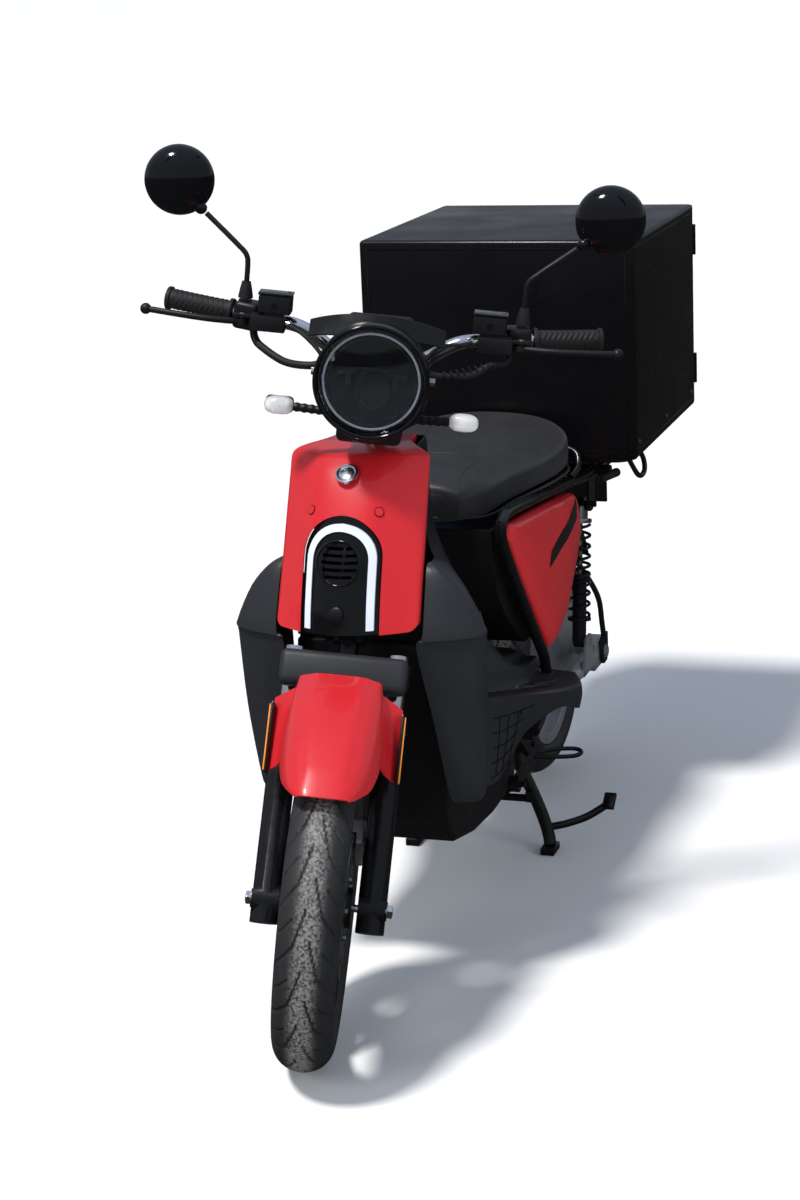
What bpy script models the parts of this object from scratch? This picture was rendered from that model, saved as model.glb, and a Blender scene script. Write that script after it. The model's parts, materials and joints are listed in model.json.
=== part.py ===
"""Moped scooter with a delivery box, built as separate parts (metres, +Z up).

Frame of reference: X is the rider's left, the front wheel is at -Y, the
ground is z = 0.  The machine stands on its centre stand with the steering
turned to the left.
"""
import math
import bmesh
import bpy
from mathutils import Matrix, Vector

# ---------------------------------------------------------------- dimensions
OX, OY = 0.0371, 0.06265               # origin of the part in the drawing frame
WHEEL_R = 0.250                 # tyre outer radius
TYRE_HALF = 0.046               # half of the tyre section width
AXLE_Y = 0.665                  # half of the wheelbase
FRONT_DROP = 0.0000             # lowers the front axle so that the tyre meets the ground
REAR_LIFT = 0.018               # rear wheel off the ground on the centre stand
RAKE = math.radians(28.0)       # steering axis from the vertical
STEER_FOOT = Vector((0.0, -0.753, 0.0))   # steering axis at ground height
STEER_REST = math.radians(16.0)  # steering turned to the left at rest
FORK_X = 0.080                  # half distance of the fork legs
FORK_O = 0.0397                 # fork legs ahead of the steering axis
AXLE_S = 0.262                  # front axle along the steering axis
STEM_R = 0.0155
STANCHION_R = 0.015
LEG_R = 0.022
BAR_R = 0.011
GRIP_R = 0.0165
SIDE_TUBE_X = 0.148
SIDE_TUBE_R = 0.010
BOX_W, BOX_H = 0.520, 0.405
BOX_Y0, BOX_Y1, BOX_Z0 = 0.458, 1.0138, 0.697
BOX_WALL = 0.005
DOOR_T = 0.0135
PIVOT = Vector((0.0, 0.215, 0.275))        # swingarm pivot
STAND = Vector((0.0, 0.262, 0.205))        # centre stand pivot
SIDE_STAND = Vector((0.131, 0.047, 0.204))  # side stand bolt
SHOCK_L = Vector((0.122, 0.545, 0.322))    # lower shock eye
SHOCK_U = Vector((0.122, 0.578, 0.585))    # upper shock eye
SEAT_HINGE = Vector((0.0, -0.080, 0.700))
GAP = 0.0004

for ob in list(bpy.data.objects):
    bpy.data.objects.remove(ob, do_unlink=True)
scene = bpy.context.scene
PARTS = bpy.data.collections.new("moped_scooter")
TEMP = bpy.data.collections.new("working")
scene.collection.children.link(PARTS)
scene.collection.children.link(TEMP)

# ---------------------------------------------------------------- materials
_mats = {}


def material(name, rgb, rough, metal=0.0):
    if name not in _mats:
        m = bpy.data.materials.new(name)
        m.use_nodes = True
        b = m.node_tree.nodes["Principled BSDF"]
        b.inputs["Base Color"].default_value = (*rgb, 1.0)
        b.inputs["Roughness"].default_value = rough
        b.inputs["Metallic"].default_value = metal
        m.diffuse_color = (*rgb, 1.0)
        _mats[name] = m
    return _mats[name]


# ---------------------------------------------------------------- empties
def empty(name, parent=None, loc=(0, 0, 0)):
    e = bpy.data.objects.new(name, None)
    PARTS.objects.link(e)
    e.parent = parent
    e.location = loc
    return e


ROOT = empty("machine", None, (-OX, -OY, 0.0))
STEER = empty("steering_axis", ROOT, STEER_FOOT)
AXIS_A = Vector((0.0, math.sin(RAKE), math.cos(RAKE)))
STEER.rotation_mode = "QUATERNION"
STEER.rotation_quaternion = Matrix.Rotation(STEER_REST, 4, AXIS_A).to_quaternion()
# fork frame: local z runs up the steering axis, local -y points forward
FORK_M = Matrix.Translation(STEER_FOOT) @ Matrix.Rotation(-RAKE, 4, "X")


# ---------------------------------------------------------------- mesh tools
def as_obj(bm, name="tmp"):
    me = bpy.data.meshes.new(name)
    bm.to_mesh(me)
    bm.free()
    ob = bpy.data.objects.new(name, me)
    TEMP.objects.link(ob)
    return ob


def evaluated(ob):
    bpy.context.view_layer.update()
    dg = bpy.context.evaluated_depsgraph_get()
    me = bpy.data.meshes.new_from_object(ob.evaluated_get(dg))
    me.transform(ob.matrix_world)
    bpy.data.objects.remove(ob, do_unlink=True)
    new = bpy.data.objects.new("tmp", me)
    TEMP.objects.link(new)
    return new


def weld(ob, dist=0.00005):
    bm = bmesh.new()
    bm.from_mesh(ob.data)
    bmesh.ops.remove_doubles(bm, verts=bm.verts, dist=dist)
    bmesh.ops.recalc_face_normals(bm, faces=bm.faces)
    bm.to_mesh(ob.data)
    bm.free()
    return ob


def transform(ob, m):
    ob.data.transform(m)
    return ob


def fork(ob):
    return transform(ob, FORK_M)


def block(size, loc, rot=None, bevel=0.0, seg=2):
    bm = bmesh.new()
    bmesh.ops.create_cube(bm, size=1.0)
    bmesh.ops.scale(bm, vec=Vector(size), verts=bm.verts)
    if bevel > 0:
        bmesh.ops.bevel(bm, geom=list(bm.edges), offset=bevel, segments=seg,
                        affect="EDGES", profile=0.5)
    ob = as_obj(bm)
    m = Matrix.Translation(Vector(loc))
    if rot is not None:
        m = m @ rot
    return transform(ob, m)


def axis_matrix(p0, p1):
    p0, p1 = Vector(p0), Vector(p1)
    d = p1 - p0
    q = Vector((0, 0, 1)).rotation_difference(d.normalized())
    return Matrix.Translation((p0 + p1) / 2) @ q.to_matrix().to_4x4(), d.length


def rod(p0, p1, r, seg=20, r2=None):
    m, length = axis_matrix(p0, p1)
    bm = bmesh.new()
    bmesh.ops.create_cone(bm, cap_ends=True, segments=seg, radius1=r,
                          radius2=r if r2 is None else r2, depth=length)
    return transform(as_obj(bm), m)


def ball(loc, r, u=14, v=8, scale=(1, 1, 1)):
    bm = bmesh.new()
    bmesh.ops.create_uvsphere(bm, u_segments=u, v_segments=v, radius=r)
    bmesh.ops.scale(bm, vec=Vector(scale), verts=bm.verts)
    return transform(as_obj(bm), Matrix.Translation(Vector(loc)))


def smooth_path(pts, step):
    """Catmull-Rom points through pts, about `step` metres apart."""
    P = [Vector(p) for p in pts]
    P = [P[0] * 2 - P[1]] + P + [P[-1] * 2 - P[-2]]
    out = [P[1].copy()]
    for i in range(1, len(P) - 2):
        a, b, c, d = P[i - 1], P[i], P[i + 1], P[i + 2]
        n = max(1, int(round((c - b).length / step)))
        for k in range(1, n + 1):
            t = k / n
            out.append(0.5 * ((2 * b) + (c - a) * t + (2 * a - 5 * b + 4 * c - d) * t * t
                              + (3 * b - a - 3 * c + d) * t ** 3))
    return out


def pipe(pts, r, res=2, cyclic=False):
    cu = bpy.data.curves.new("pipe", "CURVE")
    cu.dimensions = "3D"
    cu.bevel_depth = r
    cu.bevel_resolution = res
    cu.use_fill_caps = not cyclic
    sp = cu.splines.new("POLY")
    sp.points.add(len(pts) - 1)
    for p, q in zip(sp.points, pts):
        p.co = (*q, 1.0)
    sp.use_cyclic_u = cyclic
    ob = bpy.data.objects.new("pipe", cu)
    TEMP.objects.link(ob)
    return weld(evaluated(ob))


def turned(profile, steps=32, axis="Z", closed=False):
    """Profile of (radius, height) points, turned with a Screw modifier."""
    me = bpy.data.meshes.new("turned")
    n = len(profile)
    edges = [(i, i + 1) for i in range(n - 1)] + ([(n - 1, 0)] if closed else [])
    me.from_pydata([(r, 0.0, h) for r, h in profile], edges, [])
    ob = bpy.data.objects.new("turned", me)
    TEMP.objects.link(ob)
    sc = ob.modifiers.new("Screw", "SCREW")
    sc.steps = sc.render_steps = steps
    sc.use_merge_vertices = True
    sc.merge_threshold = 0.00005
    sc.use_normal_calculate = True
    ob = weld(evaluated(ob))
    if axis == "X":
        transform(ob, Matrix.Rotation(math.radians(90), 4, "Y"))
    elif axis == "-Y":
        transform(ob, Matrix.Rotation(math.radians(90), 4, "X"))
    elif axis == "Y":
        transform(ob, Matrix.Rotation(math.radians(-90), 4, "X"))
    return ob


def prism(outline, axis, lo, hi):
    """Flat outline extruded along an axis; (a, b) are the other two axes."""
    cu = bpy.data.curves.new("outline", "CURVE")
    cu.dimensions = "2D"
    cu.fill_mode = "BOTH"
    cu.extrude = (hi - lo) / 2
    sp = cu.splines.new("POLY")
    sp.points.add(len(outline) - 1)
    for p, q in zip(sp.points, outline):
        p.co = (q[0], q[1], 0.0, 1.0)
    sp.use_cyclic_u = True
    ob = bpy.data.objects.new("outline", cu)
    TEMP.objects.link(ob)
    ob = weld(evaluated(ob))
    mid = (lo + hi) / 2
    cols = {"X": ((0, 1, 0), (0, 0, 1), (1, 0, 0)),
            "Y": ((1, 0, 0), (0, 0, 1), (0, -1, 0)),
            "Z": ((1, 0, 0), (0, 1, 0), (0, 0, 1))}[axis]
    rot = Matrix((cols[0], cols[1], cols[2])).transposed().to_4x4()
    shift = {"X": (mid, 0, 0), "Y": (0, mid, 0), "Z": (0, 0, mid)}[axis]
    return weld(transform(ob, Matrix.Translation(shift) @ rot))


def sheet(rows, thick, offset=-1.0, close=False):
    """Grid of points made into a shell of the given thickness."""
    bm = bmesh.new()
    grid = [[bm.verts.new(Vector(p)) for p in row] for row in rows]
    n = len(rows[0])
    for i in range(len(rows) - 1):
        for j in range(n if close else n - 1):
            a, b = grid[i][j], grid[i][(j + 1) % n]
            c, d = grid[i + 1][(j + 1) % n], grid[i + 1][j]
            bm.faces.new((a, b, c, d))
    ob = as_obj(bm)
    so = ob.modifiers.new("Solidify", "SOLIDIFY")
    so.thickness = thick
    so.offset = offset
    so.use_even_offset = True
    so.thickness_clamp = 0.0
    return weld(evaluated(ob))


def loft(sections):
    """Closed rings joined side by side and capped."""
    bm = bmesh.new()
    rings = [[bm.verts.new(Vector(p)) for p in s] for s in sections]
    n = len(rings[0])
    for a, b in zip(rings, rings[1:]):
        for j in range(n):
            bm.faces.new((a[j], a[(j + 1) % n], b[(j + 1) % n], b[j]))
    bm.faces.new(rings[0])
    bm.faces.new(list(reversed(rings[-1])))
    bmesh.ops.recalc_face_normals(bm, faces=bm.faces)
    return as_obj(bm)


def boolean(a, b, op):
    md = a.modifiers.new("Boolean", "BOOLEAN")
    md.operation = op
    md.solver = "EXACT"
    md.object = b
    out = evaluated(a)
    bpy.data.objects.remove(b, do_unlink=True)
    return weld(out, 0.00002)


def union(first, *rest):
    for o in rest:
        first = boolean(first, o, "UNION")
    return first


def cut(first, *rest):
    for o in rest:
        first = boolean(first, o, "DIFFERENCE")
    return first


def common(first, other):
    return boolean(first, other, "INTERSECT")


def copy(ob):
    new = bpy.data.objects.new("tmp", ob.data.copy())
    TEMP.objects.link(new)
    return new


def mirrored(ob):
    return weld(transform(copy(ob), Matrix.Scale(-1, 4, (1, 0, 0))), 0.000001)


def finish(ob, name, mat, group="body", origin=(0, 0, 0), sharp=35):
    """Name the part, put its origin on its joint and hang it on its empty."""
    origin = Vector(origin)
    bm = bmesh.new()
    bm.from_mesh(ob.data)
    bmesh.ops.remove_doubles(bm, verts=bm.verts, dist=0.00002)
    bmesh.ops.dissolve_degenerate(bm, edges=bm.edges, dist=0.00002)
    bmesh.ops.recalc_face_normals(bm, faces=bm.faces)
    bm.to_mesh(ob.data)
    bm.free()
    ob.data.transform(Matrix.Translation(-origin))
    ob.name = name
    ob.data.name = name
    ob.location = origin
    TEMP.objects.unlink(ob)
    PARTS.objects.link(ob)
    ob.data.materials.clear()
    ob.data.materials.append(mat)
    ob.data.shade_smooth()
    ob.data.set_sharp_from_angle(angle=math.radians(sharp))
    if group == "body":
        ob.parent = ROOT
    else:
        ob.parent = STEER
        ob.matrix_parent_inverse = Matrix.Translation(-STEER_FOOT)
    return ob


def lerp(table, x):
    """Piecewise straight line through (x, y) pairs."""
    if x <= table[0][0]:
        return table[0][1]
    for (x0, y0), (x1, y1) in zip(table, table[1:]):
        if x <= x1:
            return y0 + (y1 - y0) * (x - x0) / (x1 - x0)
    return table[-1][1]


# ---------------------------------------------------------------- colours
BLACK = material("black_paint", (0.012, 0.012, 0.014), 0.32)
PLASTIC = material("black_plastic", (0.018, 0.018, 0.02), 0.55)
RED = material("red_paint", (0.62, 0.03, 0.035), 0.25)
GREY = material("dark_grey_plastic", (0.075, 0.078, 0.09), 0.5)
CHROME = material("chrome", (0.75, 0.75, 0.77), 0.12, 1.0)
STEEL = material("steel", (0.45, 0.45, 0.46), 0.35, 1.0)
CAST = material("cast_aluminium", (0.55, 0.56, 0.57), 0.5, 0.6)
RUBBER = material("rubber", (0.015, 0.015, 0.015), 0.8)
LENS = material("clear_lens", (0.85, 0.87, 0.9), 0.1)
WHITE = material("white_lens", (0.9, 0.9, 0.9), 0.3)
VINYL = material("seat_vinyl", (0.03, 0.03, 0.034), 0.6)
REDLENS = material("red_lens", (0.5, 0.01, 0.01), 0.2)
BOXMAT = material("box_panel", (0.01, 0.01, 0.012), 0.3)
CELL = material("battery_case", (0.1, 0.12, 0.2), 0.5)


# ================================================================ wheels
def tyre(centre):
    prof = [(0.1800, 0.0320), (0.1915, 0.0320), (0.2080, TYRE_HALF), (0.2300, 0.0385), (0.2450, 0.0205)]
    # crown point between the shoulders, then the hollow that holds the air
    outer = prof + [(WHEEL_R, 0.0)] + [(r, -h) for r, h in reversed(prof)]
    inner = [(0.1800, -0.0240), (0.2150, -0.0340), (0.2150, 0.0340), (0.1800, 0.0240)]
    ob = turned(outer + inner, 26, "X", closed=True)
    return transform(ob, Matrix.Translation(Vector(centre)))


def rim_ring(centre):
    prof = [(0.190, -0.036), (0.190, -0.0332), (0.1790, -0.0330), (0.1790, 0.0330),
            (0.190, 0.0332), (0.190, 0.036), (0.172, 0.0335), (0.172, -0.0335)]
    return turned(prof, 26, "X", closed=True)


FRONT_AXLE = FORK_M @ Vector((0.0, -FORK_O, AXLE_S))
FRONT_AXLE.z -= FRONT_DROP
REAR_AXLE = Vector((0.0, AXLE_Y, WHEEL_R + REAR_LIFT))

finish(tyre(FRONT_AXLE), "front_tyre", RUBBER, "steer", FRONT_AXLE)
finish(tyre(REAR_AXLE), "rear_tyre", RUBBER, "body", REAR_AXLE)

# cast front wheel: rim ring, five spokes and a bored hub
ring = rim_ring(FRONT_AXLE)
hub = rod((-0.050, 0, 0), (0.050, 0, 0), 0.031, 16)
star = hub
for k in range(5):
    a = math.radians(90 + 72 * k)
    arm = block((0.022, 0.028, 0.149), (0, 0, 0.0985))
    transform(arm, Matrix.Rotation(a, 4, "X"))
    star = union(star, arm)
wheel = union(ring, star)
wheel = cut(wheel, rod((-0.06, 0, 0), (0.06, 0, 0), 0.0068, 12))
transform(wheel, Matrix.Translation(FRONT_AXLE))
finish(wheel, "front_rim", BLACK, "steer", FRONT_AXLE)

disc = turned([(0.110, 0.0420), (0.110, 0.0385), (0.0316, 0.0385), (0.0316, 0.0420)], 28, "X", closed=True)
transform(disc, Matrix.Translation(FRONT_AXLE))
finish(disc, "front_disc", STEEL, "steer", FRONT_AXLE)

# rear wheel with the hub motor
ring = rim_ring(REAR_AXLE)
drum = turned([(0.0105, 0.076), (0.060, 0.076), (0.110, 0.056), (0.112, 0.014), (0.1735, 0.010),
               (0.1735, -0.010), (0.112, -0.014), (0.110, -0.056), (0.060, -0.076), (0.0105, -0.076)], 26, "X", closed=True)
motor = union(ring, drum)
transform(motor, Matrix.Translation(REAR_AXLE))
finish(motor, "hub_motor", CAST, "body", REAR_AXLE)

# ================================================================ fork
for side, tag in ((1, "left"), (-1, "right")):
    x = side * FORK_X
    leg = rod((x, -FORK_O, AXLE_S - 0.036), (x, -FORK_O, 0.546), LEG_R, 16)
    lug = rod((x - 0.0205, -FORK_O, AXLE_S), (x + 0.0205, -FORK_O, AXLE_S), 0.0235, 14)
    leg = union(leg, lug)
    leg = cut(leg, rod((x, -FORK_O, 0.340), (x, -FORK_O, 0.56), STANCHION_R + GAP + 0.0004, 16),
              rod((x - 0.03, -FORK_O, AXLE_S), (x + 0.03, -FORK_O, AXLE_S), 0.0066, 10))
    finish(fork(leg), "fork_lower_" + tag, BLACK, "steer", FORK_M @ Vector((x, -FORK_O, AXLE_S)))
    st = rod((x, -FORK_O, 0.400), (x, -FORK_O, 0.652), STANCHION_R, 16)
    finish(fork(st), "stanchion_" + tag, CHROME, "steer", FORK_M @ Vector((x, -FORK_O, 0.60)))

# axle with a nut at each end
ax = rod((-0.112, -FORK_O, AXLE_S), (0.112, -FORK_O, AXLE_S), 0.006, 10)
ax = union(ax, rod((0.1028, -FORK_O, AXLE_S), (0.1110, -FORK_O, AXLE_S), 0.011, 6),
           rod((-0.1110, -FORK_O, AXLE_S), (-0.1028, -FORK_O, AXLE_S), 0.011, 6))
finish(fork(ax), "front_axle", CHROME, "steer", FRONT_AXLE)

# stem, lower clamp and handlebar riser
stem = rod((0, 0, 0.602), (0, 0, 1.086), STEM_R, 16)
clamp = rod((0, 0, 0.602), (0, 0, 0.6395), 0.028, 16)
plate = block((0.150, 0.040, 0.034), (0, -0.026, 0.620))
clamp = union(clamp, plate)
for side in (1, -1):
    clamp = union(clamp, rod((side * FORK_X, -FORK_O, 0.602), (side * FORK_X, -FORK_O, 0.6395), 0.0205, 16))
for side in (1, -1):
    clamp = cut(clamp, rod((side * FORK_X, -FORK_O, 0.59), (side * FORK_X, -FORK_O, 0.66), STANCHION_R + GAP + 0.0003, 16))
riser = block((0.052, 0.084, 0.070), (0, -0.030, 1.105), bevel=0.006, seg=1)
stem = union(stem, clamp, riser)
BAR_C = Vector((0, -0.275, 1.012))
bar_local = FORK_M.inverted() @ BAR_C
stem = cut(stem, rod((-0.05, bar_local.y, bar_local.z), (0.05, bar_local.y, bar_local.z), BAR_R + 0.0010, 14))
finish(fork(stem), "steering_stem", BLACK, "steer", STEER_FOOT + AXIS_A * 0.8)

# padded cover in front of the lower clamp
cov = block((0.196, 0.036, 0.056), (0, -0.0820, 0.612), bevel=0.012, seg=2)
finish(fork(cov), "fork_cover", GREY, "steer", FORK_M @ Vector((0, -0.08, 0.612)))

# ---- front mudguard: faceted beak with a brace to the fork legs
half = [
    [(0.000, -0.600, 0.590), (0.028, -0.596, 0.584), (0.050, -0.590, 0.575), (0.058, -0.584, 0.566)],
    [(0.000, -0.645, 0.577), (0.040, -0.636, 0.565), (0.072, -0.612, 0.548), (0.080, -0.602, 0.530)],
    [(0.000, -0.695, 0.556), (0.046, -0.683, 0.541), (0.086, -0.645, 0.523), (0.099, -0.622, 0.502)],
    [(0.000, -0.740, 0.534), (0.040, -0.728, 0.518), (0.076, -0.690, 0.497), (0.090, -0.655, 0.466)],
    [(0.000, -0.782, 0.507), (0.028, -0.771, 0.494), (0.052, -0.748, 0.473), (0.066, -0.722, 0.448)],
    [(0.000, -0.806, 0.488), (0.016, -0.800, 0.480), (0.032, -0.786, 0.467), (0.044, -0.772, 0.4555)],
    [(0.000, -0.817, 0.4785), (0.007, -0.815, 0.4755), (0.013, -0.811, 0.472), (0.018, -0.806, 0.469)],
]
rows = [[(-x, y, z) for x, y, z in reversed(r[1:])] + r for r in half]
fend = sheet(rows, 0.003, offset=-1.0)
brace = fork(block((0.178, 0.0640, 0.012), (0, -0.0965, 0.5265)))
fend = union(fend, brace)
finish(fend, "front_fender", RED, "steer", FORK_M @ Vector((0, -0.09, 0.52)))

# ---- brake caliper on the left leg, behind the leg, straddling the disc
cal = block((0.0370, 0.044, 0.072), (0.0388, -0.5800, 0.322), Matrix.Rotation(math.radians(38), 4, "X"), bevel=0.005, seg=1)
slot = turned([(0.116, 0.0448), (0.116, 0.0357), (0.02, 0.0357), (0.02, 0.0448)], 28, "X", closed=True)
transform(slot, Matrix.Translation(FRONT_AXLE))
cal = cut(cal, slot)
finish(cal, "brake_caliper", CAST, "steer", (0.0388, -0.58, 0.322))

# ================================================================ handlebar
G0 = Vector((0.235, -0.2585, 1.0630))
GD = Vector((0.110, 0.0215, 0.0080)).normalized()


def on_bar(x, side=1):
    p = G0 + GD * ((x - G0.x) / GD.x)
    return Vector((side * p.x, p.y, p.z))


halfbar = [(0.000, -0.275, 1.012), (0.038, -0.275, 1.012), (0.062, -0.2765, 1.0165), (0.083, -0.280, 1.028),
           (0.104, -0.2830, 1.0430), (0.126, -0.2820, 1.0530)] + [tuple(on_bar(v)) for v in (0.150, 0.20, 0.27, 0.338)]
pts = [(-x, y, z) for x, y, z in reversed(halfbar[1:])] + halfbar
finish(pipe(smooth_path(pts, 0.030), BAR_R, 2), "handlebar", CHROME, "steer", BAR_C)


def bar_frame(side):
    """Rotation whose local x lies along the bar."""
    d = Vector((side * GD.x, GD.y, GD.z))
    q = Vector((side, 0, 0)).rotation_difference(d)
    return q.to_matrix().to_4x4()


for side, tag in ((1, "left"), (-1, "right")):
    # rubber grip: sleeve with a collar at each end
    prof = [(BAR_R + 0.0008, 0.000), (GRIP_R + 0.0035, 0.000), (GRIP_R + 0.0035, 0.004), (GRIP_R, 0.007), (GRIP_R, 0.104),
            (GRIP_R + 0.002, 0.106), (GRIP_R + 0.002, 0.110), (BAR_R + 0.0008, 0.110)]
    g = turned(list(reversed(prof)), 16, "Z", closed=True)
    q = Vector((0, 0, 1)).rotation_difference(Vector((side * GD.x, GD.y, GD.z)))
    transform(g, Matrix.Translation(on_bar(0.2365, side)) @ q.to_matrix().to_4x4())
    finish(g, "grip_left" if side > 0 else "throttle_grip", RUBBER, "steer", on_bar(0.2365, side))

    # switch pod, master cylinder and fluid reservoir
    c = on_bar(0.2120, side)
    rot = bar_frame(side)
    pod = block((0.040, 0.046, 0.044), c, rot, bevel=0.008, seg=1)
    pod = union(pod, rod(on_bar(0.2125, side) + Vector((side * 0.006, -0.002, 0.016)),
                         on_bar(0.2125, side) + Vector((side * 0.006, -0.002, 0.0235)), 0.0105, 16))
    body = block((0.055, 0.022, 0.024), (side * 0.1775, -0.2985, 1.0570))
    res = block((0.052, 0.036, 0.030), (side * 0.1680, -0.2900, 1.0880), bevel=0.004, seg=1)
    neck = block((0.030, 0.018, 0.014), (side * 0.1680, -0.2965, 1.0715))
    lug = block((0.040, 0.018, 0.0050), (side * 0.2125, -0.2975, 1.0660))
    web = block((0.010, 0.024, 0.010), (side * 0.1990, -0.2860, 1.0660))
    pod = union(pod, body, neck, res, lug, web)
    pod = cut(pod, rod(on_bar(0.13, side), on_bar(0.26, side), BAR_R + 0.0008, 14))
    if side > 0:
        pod = cut(pod, rod((0.2100, -0.2340, 1.0660), (0.2100, -0.2460, 1.0660), 0.0062, 16),
                  block((0.0150, 0.0120, 0.0064), (0.2125, -0.2400, 1.0500)))
    finish(pod, "control_" + tag, PLASTIC, "steer", c)

    # brake lever with a ball end
    P = Vector((side * 0.2185, -0.2980, 1.0560))
    lever = pipe(smooth_path([(side * 0.2185, -0.2980, 1.0560), (side * 0.240, -0.3070, 1.0568), (side * 0.275, -0.3115, 1.058),
                              (side * 0.320, -0.3085, 1.0600), (side * 0.366, -0.3015, 1.0618)], 0.030), 0.0050, 1)
    lever = union(lever, rod(P - Vector((0, 0, 0.0046)), P + Vector((0, 0, 0.0046)), 0.0090, 12),
                  ball((side * 0.3690, -0.3010, 1.0620), 0.0088, 10, 6))
    finish(lever, "brake_lever_" + tag, PLASTIC, "steer", P)

    # mirror stalk with its foot, and the round mirror head
    F = on_bar(0.2125, side) + Vector((side * 0.006, -0.002, 0.0))
    F0, F1 = Vector((F.x, F.y, 1.0872)), Vector((F.x, F.y, 1.1130))
    foot = rod(F0, F1, 0.0100, 12, 0.0070)
    stalk = pipe(smooth_path([(F.x, F.y, 1.105), (F.x, F.y, 1.140), (F.x + side * 0.003, F.y, 1.155), (F.x + side * 0.016, F.y + 0.002, 1.168),
                              (side * 0.2900, -0.2520, 1.2120)], 0.018), 0.0042, 1)
    head_c = Vector((side * 0.3375, -0.2465, 1.2580))
    stalk = union(foot, stalk)
    finish(stalk, "mirror_stalk_" + tag, PLASTIC, "steer", F0)
    dome = turned([(0.0, 0.0270), (0.022, 0.0250), (0.040, 0.0175), (0.051, 0.0050), (0.0550, -0.0100),
                   (0.0, -0.0090)], 24, "-Y")
    transform(dome, Matrix.Translation(head_c))
    sock = rod((side * 0.2950, -0.2514, 1.2155), (side * 0.3050, -0.2495, 1.2240), 0.0075, 10)
    head = union(dome, sock)
    head = cut(head, rod((side * 0.2700, -0.2555, 1.1985), (side * 0.29250, -0.2516, 1.2137), 0.0085, 10))
    finish(head, "mirror_head_" + tag, BLACK, "steer", (side * 0.2990, -0.2508, 1.2185))

    # turn indicator on its ribbed stalk
    lens = block((0.046, 0.026, 0.028), (side * 0.1420, -0.3810, 0.9480), bevel=0.0120, seg=2)
    arm = rod((side * 0.0500, -0.3840, 0.9450), (side * 0.1250, -0.3815, 0.9475), 0.0060, 10)
    finish(union(lens, arm), "indicator_" + tag, WHITE, "steer", (side * 0.142, -0.381, 0.948))

# horn button and turn switch in the left pod (they face the rider)
hb = rod((0.2100, -0.2350, 1.0660), (0.2100, -0.2430, 1.0660), 0.0058, 16)
hb = union(hb, rod((0.2100, -0.2315, 1.0660), (0.2100, -0.2360, 1.0660), 0.0052, 16))
finish(hb, "horn_button", RED, "steer", (0.2100, -0.235, 1.066))
ts = block((0.0060, 0.0110, 0.0056), (0.2125, -0.2385, 1.0500), bevel=0.001, seg=1)
finish(ts, "turn_switch", WHITE, "steer", (0.2125, -0.2385, 1.05))

# ---- headlight: bucket, lens and fly screen
HL = Vector((0.0, -0.470, 1.014))
shell = turned([(0.0, 0.0), (0.0850, 0.0), (0.0875, -0.0120), (0.0860, -0.0500), (0.0780, -0.0850),
                (0.0600, -0.1180), (0.0380, -0.1380), (0.0, -0.1430)], 28, "-Y")
transform(shell, Matrix.Translation(HL))
neck = block((0.090, 0.078, 0.040), (0, -0.3745, 0.9400), Matrix.Rotation(math.radians(-14), 4, "X"), bevel=0.010, seg=1)
inner = turned([(0.0, 0.0200), (0.0822, 0.0200), (0.0822, -0.0500), (0.0740, -0.0830), (0.0560, -0.1150), (0.0350, -0.1340),
                (0.0, -0.1390)], 28, "-Y")
transform(inner, Matrix.Translation(HL))
shell = union(shell, neck)
shell = cut(shell, inner)
finish(shell, "headlight_shell", BLACK, "steer", HL)
lens = turned([(0.0, 0.0030), (0.040, 0.0015), (0.0806, -0.0050), (0.0806, -0.0140),
               (0.040, -0.0035), (0.0, -0.0020)], 28, "-Y")
transform(lens, Matrix.Translation(HL))
finish(lens, "headlight_lens", LENS, "steer", HL)
rows = []
for i in range(3):
    v = i / 2
    row = []
    for j in range(11):
        u = -1 + 2 * j / 10
        x = 0.102 * u
        zb = 1.014 + math.sqrt(max(0.0925 ** 2 - (0.86 * x) ** 2, 0.0)) if abs(u) < 2 else 0
        zt = 1.1165 - 0.020 * u * u
        z = zb + (zt - zb) * v
        y = -0.437 + 0.028 * u * u + 0.010 * v
        row.append((x, y, z))
    rows.append(row)
finish(sheet(rows, 0.003, 0.0), "visor", PLASTIC, "steer", (0, -0.44, 1.10))


# ================================================================ frame
frame = fork(rod((0, 0, 0.672), (0, 0, 0.925), 0.0270, 18))
spine = pipe(smooth_path([(0, -0.372, 0.715), (0, -0.335, 0.672), (0, -0.300, 0.610), (0, -0.283, 0.540), (0, -0.272, 0.460),
                          (0, -0.250, 0.385), (0, -0.200, 0.322), (0, -0.130, 0.290), (0, 0.00, 0.285), (0, 0.10, 0.285)], 0.10), 0.021, 2)
frame = union(frame, spine)
frame = union(frame, rod((-0.148, 0.100, 0.285), (0.148, 0.100, 0.285), 0.0165, 12))
tube = [(SIDE_TUBE_X, 0.100, 0.285), (SIDE_TUBE_X, 0.150, 0.300), (SIDE_TUBE_X, 0.187, 0.345), (SIDE_TUBE_X, 0.185, 0.392),
        (SIDE_TUBE_X, 0.140, 0.442), (SIDE_TUBE_X, 0.030, 0.556), (SIDE_TUBE_X, -0.050, 0.645), (SIDE_TUBE_X, -0.078, 0.688),
        (SIDE_TUBE_X, -0.050, 0.712), (SIDE_TUBE_X, 0.10, 0.700), (SIDE_TUBE_X, 0.25, 0.685), (SIDE_TUBE_X, 0.415, 0.666),
        (SIDE_TUBE_X, 0.50, 0.655), (SIDE_TUBE_X, 0.60, 0.647), (SIDE_TUBE_X, 0.70, 0.6450)]
for side in (1, -1):
    frame = union(frame, pipe(smooth_path([(side * x, y, z) for x, y, z in tube], 0.09), SIDE_TUBE_R, 1))
frame = union(frame, rod((-0.178, 0.600, 0.6460), (0.178, 0.600, 0.6460), 0.0110, 12))
frame = union(frame, rod((-0.150, 0.440, 0.6630), (0.150, 0.440, 0.6630), 0.0070, 8))
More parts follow.
